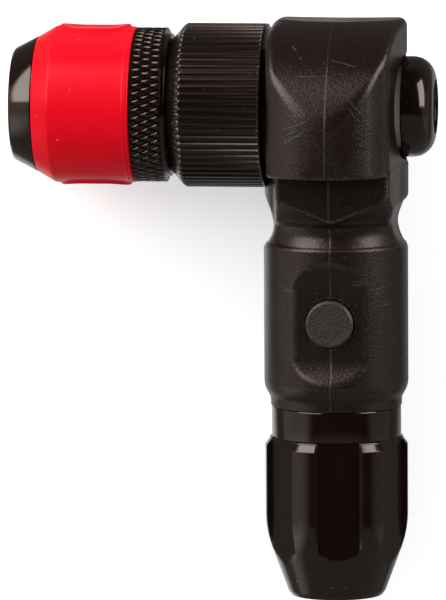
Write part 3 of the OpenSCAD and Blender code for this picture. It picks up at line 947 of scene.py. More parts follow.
@dataclass(frozen=True)
class Metal(Finish):
    """Bare or plated metal with fine tool marks."""

    colour: Colour
    gloss: float
    marks: float = 0.004
    metallic: float = 1.0

    def dress(self, skin: Skin) -> None:
        """Add the tool marks and a slow change of shade.

        Args:
            skin: Nodes of the material.
        """
        grain = GRAIN.use(skin, Scale=2200.0)
        shade = tuple(0.86 * c for c in self.colour[:3]) + (1.0,)
        skin.cover(skin.blend(skin.span(grain["Drift"], 0.3, 0.7), shade, self.colour))
        skin.set(Metallic=self.metallic)
        skin.roughen(self.gloss, grain["Height"], -0.05, 0.08)
        skin.bump(MARKS.use(skin, Scale=8000.0)["Height"], self.marks)


@dataclass(frozen=True)
class Plastic(Finish):
    """Plain engineering plastic, fibre or grained button plastic."""

    colour: Colour = (0.7, 0.65, 0.55, 1.0)
    pale: Colour = (0.8, 0.76, 0.68, 1.0)
    gloss: float = 0.4
    grit: float = 0.01
    scale: float = 2600.0

    def dress(self, skin: Skin) -> None:
        """Add the grain in two shades.

        Args:
            skin: Nodes of the material.
        """
        grain = GRAIN.use(skin, Scale=self.scale)
        skin.cover(skin.blend(skin.span(grain["Height"], 0.38, 0.66), self.colour, self.pale))
        skin.roughen(self.gloss, grain["Drift"], -0.04, 0.06)
        skin.bump(grain["Height"], self.grit)


NYLON = Nylon("moulded_nylon")
BUTTON = Plastic("button_plastic", (0.0165, 0.0105, 0.008, 1.0), (0.07, 0.05, 0.04, 1.0), 0.42,
                 0.03, 3600.0)
GLOSS_X = Anodised("gloss_black_anodised_chuck")
GLOSS_Y = Anodised("gloss_black_anodised_tail", along_y=1.0)
SATIN = Anodised("satin_black_anodised", (0.0085, 0.004, 0.0026, 1.0), 0.22)
RED = Elastomer("red_elastomer")
RUBBER = Elastomer("seal_rubber", (0.012, 0.012, 0.012, 1.0), (0.1, 0.1, 0.1, 1.0), 0.5, 0.03)
ALUMINIUM = Metal("bare_aluminium", (0.75, 0.75, 0.77, 1.0), 0.3)
NICKEL = Metal("nickel_plate", (0.98, 0.94, 0.88, 1.0), 0.4, 0.002, 0.1)
STEEL = Metal("bright_steel", (0.62, 0.62, 0.64, 1.0), 0.24)
SPRING = Metal("spring_steel", (0.5, 0.5, 0.52, 1.0), 0.3)
HARDENED = Metal("hardened_steel", (0.42, 0.42, 0.44, 1.0), 0.34)
BRASS = Metal("brass", (0.78, 0.55, 0.22, 1.0), 0.26)
ACETAL = Plastic("black_acetal", (0.014, 0.014, 0.015, 1.0), (0.02, 0.02, 0.021, 1.0), 0.45, 0.008)
IVORY = Plastic("ivory_acetal")
FIBRE = Plastic("red_fibre", (0.3, 0.05, 0.035, 1.0), (0.4, 0.09, 0.06, 1.0), 0.7, 0.03)


# --------------------------------------------------------------------- pieces

class Assembly:
    """Base of the sub-assemblies: makes pieces and hangs them in the frame."""

    @staticmethod
    def fit(piece: bpy.types.Object, body: str, node: str, slot: str, finish: Finish) -> None:
        """Dress a piece and let it stand for a CAD node.

        Args:
            piece: Finished piece at the origin.
            body: Body that it rides on.
            node: CAD node that it replaces.
            slot: Material slot of the record; not used.
            finish: Finish of the whole piece.
        """
        piece.data.materials.clear()
        piece.data.materials.append(finish.made())
        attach(piece, body)
        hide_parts(node)
        LOG.info("%s: %d faces on %s", piece.name, len(piece.data.polygons), body)

    @staticmethod
    def keep(**finishes: Finish) -> None:
        """Give CAD nodes that stay their procedural materials.

        Args:
            finishes: Finish of each node, by the node's name.
        """
        for node, finish in finishes.items():
            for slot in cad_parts[node].material_slots:
                slot.material = finish.made()
            LOG.info("%s: kept, %s", node, finish.name)

    def build(self) -> None:
        """Build and dress all pieces of the sub-assembly."""
        raise NotImplementedError


def round_max(a: Field, b: Field, radius: float | Field) -> Field:
    """Intersection of two distance fields with a rounded edge.

    Args:
        a: First field.
        b: Second field.
        radius: Radius of the edge.

    Returns:
        The joint field.
    """
    inside = np.minimum(np.maximum(a, b), -radius)
    return inside + np.hypot(np.maximum(a + radius, 0), np.maximum(b + radius, 0))


def round_min(a: Field, b: Field, radius: float | Field) -> Field:
    """Union of two distance fields with a filleted corner."""
    return -round_max(-a, -b, radius)


def ramp(value: Field, low: float, high: float) -> Field:
    """Eased step from 0 to 1 between two values."""
    t = np.clip((value - low) / (high - low), 0, 1)
    return t * t * (3 - 2 * t)


@dataclass
class HandleMoulding(Assembly):
    """Moulded handle: head block, waisted neck and round grip in one piece.

    The CAD solid is remeshed and its points are then drawn onto the same
    shape with moulded, rounded edges. A lean is run over depth or height, and
    each `_norm` is the length that makes its leaning plane a true distance.
    """

    grip_r: float = 12.2
    grip_y: float = 32.5
    grip_top: float = 59.5
    lip_r: float = 11.1
    lip_len: float = 2.0
    lip_gap: float = 0.4
    cone_fall: Point = (2.1, 1.25)
    cone_rise: float = 3.3
    cone_norm: float = 2.444
    cone_round: float = 0.5

    left: float = 10.8
    right: float = 12.2
    depth: float = 19.9
    top_y: float = 98.3
    wing_y: float = 72.8
    plan_r: float = 12.9
    plan_x: float = -0.3
    lobe_z: float = 9.0
    dome_r: float = 20.3
    saddle_r: float = 165.5
    saddle_x: float = 0.7
    saddle_drop: float = 0.4
    face_z: float = 9.5
    face_lean: float = 0.13
    face_norm: float = 1.008
    facet_lean: float = 0.14
    facet_norm: float = 1.01
    corner_lean: float = 0.6
    corner_norm: float = 1.166
    corner_round: float = 0.5
    left_round: Corner = (2.4, 1.2, 11.0)
    right_round: Corner = (1.3, 0.5, 9.0)
    round_z: float = 3.0
    lobe_round: float = 0.6
    wing_round: float = 0.45

    neck_y: float = 63.9
    panel: float = 13.4
    step: float = 1.5
    groove_r: float = 5.0
    groove_round: float = 0.6
    waist: float = 10.1
    point_x: float = 0.5
    point_y: float = 64.8
    point_fall: Point = (4.1, 9.8)
    point_norm: float = 10.62
    bevel: Point = (0.8, 0.6)
    bevel_round: float = 0.15
    bell_round: float = 0.3
    block_round: float = 0.5
    neck_fillet: float = 0.8
    hollow_y: tuple[float, ...] = (50, 60.0, 60.2, 60.45, 60.8, 61.2, 61.7, 62.2, 62.7, 63.3,
                                   63.8, 64.3, 64.8, 80)
    hollow_r: tuple[float, ...] = (12.2, 12.2, 12.08, 11.82, 11.68, 11.57, 11.43, 11.34, 11.31,
                                   11.35, 11.47, 11.7, 12.0, 12.0)
    bell_y: tuple[float, ...] = (50, 63.9, 64.5, 65.1, 65.9, 66.8, 67.9, 69.4, 80)
    bell_r: tuple[float, ...] = (11.0, 11.0, 12.6, 13.9, 14.6, 15.3, 16.0, 16.8, 16.8)

    flat_z: float = 10.5
    flat_half: float = 7.425
    flat_slope: float = 1.7 / 2.6
    flat_round: float = 0.8
    flat_edge: float = 0.3
    head_fillet: float = 0.25
    bore_r: float = 6.05
    bore_round: float = 0.15
    scoop_r: float = 9.0
    scoop_x: float = 9.0
    scoop_round: float = 0.25
    hose_bore_r: float = 8.0
    hose_bore_y: float = 41.5
    air_r: float = 2.5
    button_r: float = 4.13
    button_floor: float = 6.1
    button_round: float = 0.22
    seat_r: float = 3.2
    seat_floor: float = -1.65

    cell: float = 0.34
    passes: int = 10
    stride: float = 0.25
    edge_from: float = 0.5
    edge_range: float = 3.5

    def sides(self, x: Field, z: Field, step: float = 0.0) -> tuple[Field, Field, Field]:
        """Fields of the head's upright faces.

        Args:
            x: Positions across the handle.
            z: Depths.
            step: Distance that the chuck-side face is moved in.

        Returns:
            Fields of the chuck-side face, the cap-side facets and the wings.
        """
        deep = np.abs(z)
        wing_z = self.depth - self.plan_r
        lobe = np.hypot(x - self.plan_x, np.maximum(deep - wing_z, 0)) - self.plan_r
        lobe = np.where(deep < self.lobe_z, deep - self.depth, lobe)
        face = step - self.left - x + self.face_lean * np.maximum(deep - self.face_z, 0)
        facet = x - self.right + self.facet_lean * deep
        corner_x = self.right - self.facet_lean * self.panel
        corner = x - corner_x + self.corner_lean * (deep - self.panel)
        side = round_max(facet / self.facet_norm, corner / self.corner_norm, self.corner_round)
        return face / self.face_norm, side, lobe

    def head(self, p: np.ndarray) -> Field:
        """Field of the head block, whose top edges are rounder in the middle.

        Args:
            p: Array of n by 3 positions.

        Returns:
            Distance to the block.
        """
        x, y, z = p.T
        deep = np.abs(z)
        dome = np.hypot(y - (self.top_y - self.dome_r), z) - self.dome_r
        saddle_y = self.top_y - self.saddle_drop + self.saddle_r
        body = np.maximum(dome, self.saddle_r - np.hypot(x - self.saddle_x, y - saddle_y))
        face, side, lobe = self.sides(x, z)
        for plane, (full, less, end) in ((face, self.left_round), (side, self.right_round)):
            body = round_max(body, plane, full - less * ramp(deep, self.round_z, end))
        body = round_max(body, lobe, self.lobe_round)
        return round_max(body, self.wing_y - y, self.wing_round)

    def neck(self, p: np.ndarray) -> Field:
        """Field of the waisted neck: a turned core and a panelled block above it.

        Args:
            p: Array of n by 3 positions.

        Returns:
            Distance to the neck.
        """
        x, y, z = p.T
        core = self.turned_field(p, self.hollow_y, self.hollow_r)
        bell = self.turned_field(p, self.bell_y, self.bell_r)
        slab = np.abs(z) - self.panel
        # The panels end in a point, with a bevel below each of its two edges.
        across, along = self.point_fall
        point = across * np.abs(x - self.point_x) - along * (y - self.point_y)
        bevel = self.bevel[0] * point / self.point_norm + self.bevel[1] * slab
        block = round_max(bell, round_max(slab, bevel, self.bevel_round), self.bell_round)
        face, side, lobe = self.sides(x, z, self.step)
        plan = np.maximum(lobe, np.maximum(face, side))
        body = round_min(round_max(block, plan, self.block_round), core, self.neck_fillet)
        groove_x = np.abs(x) - self.waist - self.groove_r
        groove = self.groove_r - np.hypot(groove_x, y - self.neck_y)
        body = round_max(body, groove, self.groove_round)
        return np.maximum(body, np.maximum(self.grip_top - 1 - y, y - self.wing_y - 1))

    @staticmethod
    def turned_field(p: np.ndarray, heights: Sequence[float], radii: Sequence[float],
                     reach: float = 0.05) -> Field:
        """Field of a body turned about the handle's axis.

        Args:
            p: Array of n by 3 positions.
            heights: Stations of the profile.
            radii: Radius at each station.
            reach: Distance over which the profile's slope is taken.

        Returns:
            Distance to the turned surface.
        """
        x, y, z = p.T
        rise = np.interp(y + reach, heights, radii) - np.interp(y - reach, heights, radii)
        slope = rise / (2 * reach)
        return (np.hypot(x, z) - np.interp(y, heights, radii)) / np.sqrt(1 + slope * slope)

    def grip(self, p: np.ndarray) -> Field:
        """Field of the round grip with its chamfered lower end.

        Args:
            p: Array of n by 3 positions.

        Returns:
            Distance to the grip.
        """
        x, y, z = p.T
        r = np.hypot(x, z)
        out, up = self.cone_fall
        cone = (r - self.grip_r) * out - (y - self.grip_y - self.cone_rise) * up
        tube = round_max(r - self.grip_r, cone / self.cone_norm, self.cone_round)
        tube = np.maximum(tube, np.maximum(self.grip_y + self.lip_gap - y, y - self.grip_top))
        lip = np.maximum(self.grip_y - y, y - self.grip_y - self.lip_len)
        return np.minimum(tube, np.maximum(r - self.lip_r, lip))

    def field(self, p: np.ndarray) -> Field:
        """Signed distance to the finished handle, negative inside.

        Args:
            p: Array of n by 3 positions in millimetres.

        Returns:
            Array of n distances.
        """
        x, y, z = p.T
        body = np.minimum(self.neck(p), self.grip(p))
        rise = (np.abs(y - BUTTON_Y) - self.flat_half) * self.flat_slope
        slope = (self.flat_z + rise - z) / math.hypot(1, self.flat_slope)
        body = round_max(body, -round_max(self.flat_z - z, slope, self.flat_round),
                         self.flat_edge)
        body = round_min(body, self.head(p), self.head_fillet)
        chuck = np.hypot(y - CHUCK_Y, z)
        body = round_max(body, self.bore_r - chuck, self.bore_round)
        scoop = np.maximum(chuck - self.scoop_r, self.scoop_x - x)
        body = round_max(body, -scoop, self.scoop_round)
        axis_r = np.hypot(x, z)
        button = np.hypot(x, y - BUTTON_Y)
        for hole in (np.maximum(axis_r - self.hose_bore_r, y - self.hose_bore_y),
                     np.maximum(axis_r - self.air_r, y - CHUCK_Y)):
            body = np.maximum(body, -hole)
        well = np.maximum(button - self.button_r, self.button_floor - z)
        body = round_max(body, -well, self.button_round)
        return np.maximum(body, -np.maximum(button - self.seat_r, self.seat_floor - z))

    def slope(self, p: np.ndarray, reach: float = 0.04) -> np.ndarray:
        """Gradient of the field.

        Args:
            p: Array of n by 3 positions.
            reach: Distance of the samples.

        Returns:
            Array of n gradients.
        """
        return np.stack([(self.field(p + shift) - self.field(p - shift)) / (2 * reach)
                         for shift in reach * np.eye(3)], axis=1)

    def edge_mask(self, p: np.ndarray, reach: float = 0.3) -> Field:
        """How sharply the surface bends outwards, for worn edges and the painted highlight on them.

        Args:
            p: Array of n by 3 positions on the surface.
            reach: Distance of the samples.

        Returns:
            Array of n values from 0 to 1.
        """
        around = sum(self.field(p + d) for d in reach * np.vstack([np.eye(3), -np.eye(3)]))
        return np.clip((around / reach ** 2 - self.edge_from) / self.edge_range, 0, 1)

    def build(self) -> None:
        """Remesh the CAD handle and draw it onto the finished shape."""
        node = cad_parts["handle_body"]
        piece = bpy.data.objects.new("handle_moulding", node.data.copy())
        piece.data.name = piece.name
        bpy.context.scene.collection.objects.link(piece)
        with Editing(piece):
            bpy.ops.mesh.remove_doubles(threshold=1e-6)
        Bench.modify(piece, "REMESH", mode="VOXEL", voxel_size=self.cell * MM)
        p = Bench.points(piece)
        for _ in range(self.passes):
            slope = self.slope(p)
            size = np.maximum((slope * slope).sum(axis=1), 0.2)
            move = self.field(p)[:, None] * slope / size[:, None]
            length = np.maximum(np.linalg.norm(move, axis=1), 1e-9)
            p = p - move * np.minimum(1, self.stride / length)[:, None]
        Bench.move(piece, p)
        bpy.ops.object.shade_smooth()
        normals = self.slope(p, 0.12)
        normals /= np.maximum(np.linalg.norm(normals, axis=1), 1e-6)[:, None]
        piece.data.normals_split_custom_set_from_vertices(normals.tolist())
        # Edge mask for the nylon's worn edges, which also carry a painted highlight.
        edge = piece.data.attributes.new("edge", "FLOAT", "POINT")
        edge.data.foreach_set("value", self.edge_mask(p))
        self.fit(piece, "handle", "handle_body", "moulded_nylon", NYLON)


@dataclass
class BleedValve(Assembly):
    """Bleed button in the handle's front, with its coil spring."""

    button_r: float = 4.03
    top: float = 11.5
    foot: float = 8.0
    roof: float = 10.2
    wall: float = 1.1
    stem_r: float = 0.7
    stem_end: float = 11.0
    seat_top: float = 6.1
    press: float = 1.4

    def button(self) -> bpy.types.Object:
        """Hollow button with a softly crowned, rimmed top.

        Returns:
            The button.
        """
        r, top, inner_r = self.button_r, self.top, self.button_r - self.wall
        return turned("bleed_button_cap", Axis.BUTTON, rounded([
            (top - 0.1, 0.0, 0.0), (top - 0.1, 2.6, 0.6), (top - 0.02, r - 0.55, 0.3),
            (top, r - 0.4, 0.1), (top - 0.28, r - 0.02, 0.2), (self.foot, r, 0.1),
            (self.foot, inner_r, 0.1), (self.roof, inner_r, 0.2), (self.roof, self.stem_r, 0.0),
            (self.stem_end, self.stem_r, 0.0), (self.stem_end, 0.0, 0.0),
        ]), 96)

    def build(self) -> None:
        """Build the button and its spring and dress the valve's other parts."""
        self.fit(self.button(), "button", "bleed_button", "button_plastic", BUTTON)
        coil = coil_spring("bleed_coil", Axis.BUTTON, self.seat_top, self.roof,
                           self.button_r - 2.1, 0.2, 4)
        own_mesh(coil)
        self.fit(coil, "handle", "bleed_spring", "spring_steel", SPRING)
        self.keep(bleed_seat=BRASS, bleed_seat_o_ring=RUBBER, bleed_stem=STEEL,
                  bleed_seal=RUBBER)


@dataclass
class Swivel(Assembly):
    """Swivel's outer end: polished spacer and glossy rear cap."""

    spacer_x0: float = 9.05
    cap_x0: float = 11.7
    cap_x1: float = 17.0
    cap_r: float = 8.5
    round_r: float = 3.8
    recess_r: float = 4.6
    recess_h: float = 0.5
    stud_r: float = 4.3
    thread_len: float = 3.9
    spacer_r: float = 7.0

    def cap(self) -> bpy.types.Object:
        """Domed cap with a shallow recess in its end.

        Returns:
            The cap.
        """
        x0, x1, r = self.cap_x0, self.cap_x1, self.cap_r
        floor_x, thread_x = x1 - self.recess_h, x0 + self.thread_len
        return turned("rear_cap_dome", Axis.CHUCK, rounded([
            (floor_x, 0.0, 0.0), (floor_x, self.recess_r, 0.12), (x1, self.recess_r + 0.05, 0.06),
            (x1 - 0.05, r - self.round_r + 0.2, 0.0), (x1 - 0.15, r, self.round_r - 0.1),
            (x0, r, 0.25), (x0, self.stud_r, 0.1), (thread_x, self.stud_r, 0.0),
            (thread_x, 0.0, 0.0),
        ], 8))

    def spacer(self) -> bpy.types.Object:
        """Polished ring with broken edges.

        Returns:
            The ring.
        """
        x0, x1, r = self.spacer_x0, self.cap_x0, self.spacer_r
        return turned("cap_spacer_ring", Axis.CHUCK, ring_of([
            (x0, self.stud_r, 0.1), (x0, r, 0.25), (x1, r, 0.25), (x1, self.stud_r, 0.1),
        ]))

    def build(self) -> None:
        """Build the cap and the spacer and dress the swivel's other parts."""
        self.fit(self.cap(), "chuck", "rear_cap", "gloss_black_anodised", GLOSS_X)
        self.fit(self.spacer(), "chuck", "cap_spacer", "nickel_plate", NICKEL)
        self.keep(spindle=STEEL, spindle_o_rings=RUBBER, thrust_washer=ACETAL)


@dataclass
class RibbedCollar(Assembly):
    """Collar with fine straight ribs: one rib is modelled and copied round.

    `rib_depth` is the share of the groove's depth at each column of one rib,
    and `run_out` gives the share left at stations before the ribs' end.
    """

    r: float = 13.85
    x0: float = -27.6
    x1: float = -11.4
    cone: float = 2.5
    count: int = 68
    groove: float = 0.45
    land: float = 0.3
    bore_r: float = 8.4
    spindle_r: float = 6.0
    web_x: float = -20.0
    rib_depth: tuple[float, ...] = (1.0, 1.0, 0.55, 0.08, 0.0, 0.0, 0.08, 0.55, 1.0)
    run_out: tuple[Point, ...] = ((0.3, 1.0), (0.2, 0.85), (0.1, 0.45), (0.0, 0.0))

    @property
    def floor_x(self) -> float:
        """Station where the grooves' floor leaves the cone."""
        return self.x0 + self.cone * (1 - self.groove / 2.2)

    @property
    def end(self) -> float:
        """Station where the ribs end."""
        return self.x1 - self.land

    def profile(self) -> list[Point]:
        """Closed outline of the collar over one rib's crest.

        Returns:
            Station and radius of each point.
        """
        floor_x, end = self.floor_x, self.end
        mouth_r, rib_x = self.r - self.cone, self.x0 + self.cone
        return [
            (self.web_x, self.bore_r), (self.x0 + 0.2, self.bore_r), (self.x0, self.bore_r + 0.2),
            (self.x0, mouth_r - 0.3), (self.x0 + 0.15, mouth_r - 0.05),
            (floor_x, self.r - self.groove),
            *rounded([(floor_x, self.r - self.groove, 0.0), (rib_x, self.r, 0.6),
                      (rib_x + 0.4, self.r, 0.0)], 4)[1:],
            *((end - back, self.r) for back, _ in self.run_out),
            *rounded([(end, self.r, 0.0), (self.x1 - 0.12, self.r, 0.05),
                      (self.x1, self.r - 0.25, 0.1), (self.x1, self.spindle_r, 0.1),
                      (self.web_x, self.spindle_r, 0.0), (self.web_x, self.bore_r, 0.0)], 3)[1:],
        ]

    def rib(self, along: Field, r: Field, angle: Field) -> Field:
        """Radii of one rib, with its grooves pressed in.

        Args:
            along: Stations.
            r: Radii of the plain sector.
            angle: Angles from the sector's edge.

        Returns:
            The new radii.
        """
        columns, root_r = len(self.rib_depth) - 1, self.r - self.groove
        column = np.rint(np.abs(angle) / (TAU / self.count) * columns).astype(int)
        fade = np.interp(along, [self.end - back for back, _ in self.run_out],
                         [share for _, share in self.run_out])
        depth = np.minimum(r - root_r, self.groove) * np.array(self.rib_depth)[column] * fade
        ribbed = (along > self.floor_x - 0.01) & (along < self.end + 0.01)
        return np.where(ribbed & (r > root_r - 0.01), r - depth, r)

    def build(self) -> None:
        """Spin one rib, press its grooves in and copy it round the axis."""
        piece = Bench.draw("ribbed_collar_turning", Axis.CHUCK, self.profile())
        Bench.spin(piece, Axis.CHUCK, len(self.rib_depth) - 1, TAU / self.count)
        Bench.press(piece, Axis.CHUCK, self.rib)
        Bench.repeat(piece, Axis.CHUCK, self.count)
        Bench.close(piece, 4e-6)
        Bench.smooth(piece, 28)
        self.fit(piece, "chuck", "ribbed_collar", "satin_black_anodised", SATIN)
        self.keep(barrel_gasket=FIBRE)


@dataclass
class LockSleeve(Assembly):
    """Sliding sleeve: nose cone, soft red grip and diamond-knurled band.

    `pillow` lists the insets that raise one diamond, by width and height.
    """

    nose_x: float = -54.5
    soft_x0: float = -50.4
    band_x0: float = -33.5
    knurl_x1: float = -28.5
    lip_r: float = 12.1
    x1: float = -27.7
    tip_bore_r: float = 6.05
    nose_tip_r: float = 9.6
    nose_base_r: float = 11.5
    waist_r: float = 11.3
    soft_r: float = 13.2
    band_r: float = 13.05
    bush_r: float = 10.8
    bush_x0: float = -31.8
    bore_r: float = 10.4
    cone_x0: float = -51.2
    cone_x1: float = -43.5
    cone_r0: float = 6.722
    cone_r1: float = 9.956
    soft_cone: float = 3.0
    flash_back: float = 0.95
    pad_x: float = -40.65
    pad_len: float = 12.1
    pad_w: float = 8.0
    pad_rise: float = 0.45
    pad_dish: float = 1.25
    diamonds: int = 57
    diamond_len: float = 3.2
    diamond_x: float = -31.95
    diamond_h: float = 0.46
    knurl_turn_in: float = 0.945
    pillow: tuple[Point, ...] = ((0.04, 0.2), (0.07, 0.24), (0.1, 0.2), (0.14, 0.14),
                                 (0.16, 0.06))
    spring_x: Point = (-40.0, -31.8)
    stroke: float = 2.6

    def shell(self) -> bpy.types.Object:
        """Turned sleeve without its knurl.

        Returns:
            The sleeve, with the band turned down to the knurl's roots.
        """
        root = self.band_r - self.diamond_h - 0.12
        step_x = self.soft_x0 - 0.05
        return turned("lock_sleeve_shell", Axis.CHUCK, ring_of([
            (self.cone_x0, self.tip_bore_r, 0.0), (self.nose_x, self.tip_bore_r, 0.15),
            (self.nose_x, self.nose_tip_r - 0.35, 0.1), (self.nose_x + 0.35, self.nose_tip_r, 0.2),
            (step_x, self.nose_base_r, 0.15), (step_x, self.waist_r, 0.0),
            (self.band_x0, self.waist_r, 0.0), (self.band_x0, root, 0.1),
            (self.knurl_x1, root, 0.05), (self.knurl_x1, self.lip_r, 0.05),
            (self.x1, self.lip_r, 0.2), (self.x1, self.bush_r, 0.1),
            (self.bush_x0, self.bush_r, 0.0), (self.bush_x0, self.bore_r, 0.0),
            (self.cone_x1, self.bore_r, 0.0), (self.cone_x1, self.cone_r1, 0.0),
            (self.cone_x0, self.cone_r0, 0.0),
        ]))

    def diamond(self) -> bpy.types.Object:
        """One raised diamond, from -1 to 1 metre across.

        Returns:
            The diamond.
        """
        bpy.ops.object.select_all(action="DESELECT")
        bpy.ops.mesh.primitive_circle_add(vertices=4, radius=1.0, fill_type="NGON")
        tile = Bench.named("knurl_skin")
        with Editing(tile):
            bpy.ops.mesh.subdivide(number_cuts=1)
            bpy.ops.mesh.select_all(action="SELECT")
            for thickness, depth in self.pillow:
                bpy.ops.mesh.inset(thickness=thickness, depth=depth)
        return tile

    def knurl(self) -> bpy.types.Object:
        """Diamond knurl: one diamond is modelled, then copied along and round.

        Returns:
            The knurled skin, trimmed at both ends and turned in.
        """
        half_a, half_l = TAU / self.diamonds / 2, self.diamond_len / 2
        tile = self.diamond()
        rows = int((self.knurl_x1 - self.band_x0) / half_l) + 3
        parts = []
        base = Bench.points(tile) * MM
        radius = self.band_r - self.diamond_h * (1 - base[:, 2] / base[:, 2].max())
        for row in range(rows):
            piece = tile.copy()
            piece.data = tile.data.copy()
            bpy.context.scene.collection.objects.link(piece)
            angle = base[:, 1] * half_a + (row % 2) * half_a
            along = self.diamond_x + (row - 2) * half_l + base[:, 0] * half_l
            Bench.move(piece, np.stack([along, CHUCK_Y + radius * np.cos(angle),
                                        radius * np.sin(angle)], axis=1))
            parts.append(piece)
        bpy.data.objects.remove(tile, do_unlink=True)
        skin = Bench.join(parts)
        skin.name = "knurl_skin"
        Bench.repeat(skin, Axis.CHUCK, self.diamonds)
        with Editing(skin):
            bpy.ops.mesh.remove_doubles(threshold=4e-6)
            for along, outer in ((self.band_x0 + 0.02, False), (self.knurl_x1, True)):
                bpy.ops.mesh.select_all(action="SELECT")
                bpy.ops.mesh.bisect(plane_co=(along * MM, 0, 0), plane_no=(1, 0, 0),
                                    clear_outer=outer, clear_inner=not outer)
            bpy.ops.mesh.select_all(action="SELECT")
            bpy.ops.mesh.region_to_loop()
            bpy.ops.mesh.extrude_region_move()
            bpy.ops.transform.resize(value=(1, self.knurl_turn_in, self.knurl_turn_in),
                                     center_override=(0, CHUCK_Y * MM, 0))
        Bench.smooth(skin, 62)
        return skin

    def pads(self, along: Field, r: Field, angle: Field) -> Field:
        """Radii of the soft grip with a raised, dished thumb pad on two sides.

        Args:
            along: Stations.
            r: Radii of the turned grip.
            angle: Angles from the first pad.

        Returns:
            The new radii.
        """
        arc = np.minimum(np.abs(angle), math.pi - np.abs(angle)) * self.soft_r
        straight = (self.pad_len - self.pad_w) / 2
        off = np.hypot(np.maximum(np.abs(along - self.pad_x) - straight, 0), arc)
        inwards = self.pad_w / 2 - off
        rim = ramp(inwards, -0.2, 0.3) - self.pad_dish * ramp(inwards, 0.4, 2.6)
        return r + np.where(r > self.waist_r + 0.5, self.pad_rise * rim, 0)

    def soft_grip(self) -> bpy.types.Object:
        """Red soft grip with a lead-in cone, a flash line and two dished thumb pads.

        Returns:
            The grip.
        """
        x0, x1, r = self.soft_x0 + 0.03, self.band_x0 - 0.2, self.soft_r
        corner_x, flash = self.soft_x0 + self.soft_cone, x1 - self.flash_back
        edge = [
            (x0, self.waist_r), (x0, self.nose_base_r - 0.05),
            *rounded([(x0, self.nose_base_r - 0.2, 0.0), (x0 + 0.05, self.nose_base_r, 0.1),
                      (corner_x, r, 0.8), (corner_x + 1.5, r, 0.0)], 6)[1:-1],
            *((float(x), r) for x in np.arange(corner_x + 0.8, x1 - 1.6, 0.24)),
            (flash - 0.3, r), (flash - 0.1, r), (flash, r + 0.07), (flash + 0.1, r - 0.03),
            *rounded([(flash + 0.3, r - 0.03, 0.0), (x1, r - 0.03, 0.35),
                      (x1, self.waist_r, 0.0)], 5),
        ]
        piece = turned("soft_grip_moulding", Axis.CHUCK, [*edge, edge[0]], 288, 40)
        Bench.press(piece, Axis.CHUCK, self.pads)
        return piece

    def build(self) -> None:
        """Build the sleeve, its knurl and its soft grip and dress the rest."""
        shell = Bench.join([self.shell(), self.knurl()])
        self.fit(shell, "sleeve", "lock_sleeve", "gloss_black_anodised", GLOSS_X)
        self.fit(self.soft_grip(), "sleeve", "sleeve_grip", "red_elastomer", RED)
        self.keep(sleeve_bush=ACETAL)
        foot, head = self.spring_x
        coil = coil_spring("sleeve_coil", Axis.CHUCK, foot, head, 9.4, 0.45, 4)
        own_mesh(coil)
        self.fit(coil, "chuck", "sleeve_spring", "spring_steel", SPRING)


@dataclass
class ValveChuck(Assembly):
    """Barrel, jaws, seal and core pin inside the sleeve."""

    tip_x: float = -54.0
    tip_r: float = 6.0
    valve_r: float = 4.1
    jaw_x0: float = -50.3
    jaw_len: float = 5.1
    jaw_w: float = 5.6
    jaw_room_r: float = 4.3
    slot_gap: float = 0.1
    seal_x0: float = -44.5
    seal_r: float = 5.6
    retainer_x0: float = -41.5
    flange_r: float = 10.35
    flange_x1: float = -40.0
    barrel_r: float = 8.4
    seat_r: float = 7.6
    x1: float = -20.5
    pin_head: float = -37.35
    spring_end: float = -20.0
    stroke: float = 2.5

    def barrel(self) -> bpy.types.Object:
        """Barrel with a lead-in at its mouth and slots for the jaws.

        Returns:
            The barrel.
        """
        shelf = self.seal_x0 - 0.3
        piece = turned("barrel_turning", Axis.CHUCK, ring_of([
            (self.seal_x0, self.jaw_room_r, 0.0), (self.jaw_x0, self.jaw_room_r, 0.0),
            (self.jaw_x0, self.valve_r, 0.0), (self.tip_x + 0.6, self.valve_r, 0.1),
            (self.tip_x, self.valve_r + 0.5, 0.1), (self.tip_x, self.tip_r, 0.3),
            (shelf, self.tip_r, 0.0), (shelf, self.seat_r, 0.15),
            (self.retainer_x0, self.seat_r, 0.0), (self.retainer_x0, self.flange_r, 0.1),
            (self.flange_x1, self.flange_r, 0.1), (self.flange_x1, self.barrel_r, 0.0),
            (self.x1, self.barrel_r, 0.15), (self.x1, self.seal_r, 0.0),
            (self.seal_x0, self.seal_r, 0.0),
        ]), 96)
        for angle in (90, 210, 330):
            bpy.ops.object.select_all(action="DESELECT")
            bpy.ops.mesh.primitive_cube_add(size=1)
            tool = bpy.context.object
            tool.scale = (self.jaw_len + self.slot_gap, 10.0, self.jaw_w + self.slot_gap)
            tool.location = (self.jaw_x0 + self.jaw_len / 2, 6.0, 0)
            Bench.named("jaw_slot")
            turn = Matrix.Rotation(math.radians(angle), 4, "X")
            tool.data.transform(
                Matrix.Translation((0, CHUCK_Y * MM, 0)) @ turn @ Matrix.Scale(MM, 4))
            Bench.cut(piece, tool)
        Bench.smooth(piece)
        return piece

    def build(self) -> None:
        """Build the barrel and the pin's spring and dress the rest."""
        self.fit(self.barrel(), "chuck", "chuck_barrel", "bare_aluminium", ALUMINIUM)
        foot, head = self.pin_head, self.spring_end
        coil = coil_spring("core_pin_coil", Axis.CHUCK, foot, head, 2.55, 0.3, 8)
        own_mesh(coil)
        self.fit(coil, "chuck", "core_pin_spring", "spring_steel", SPRING)
        self.keep(valve_seal=RUBBER, seal_retainer=BRASS, core_pin=STEEL, jaw_1=HARDENED,
                  jaw_2=HARDENED, jaw_3=HARDENED)


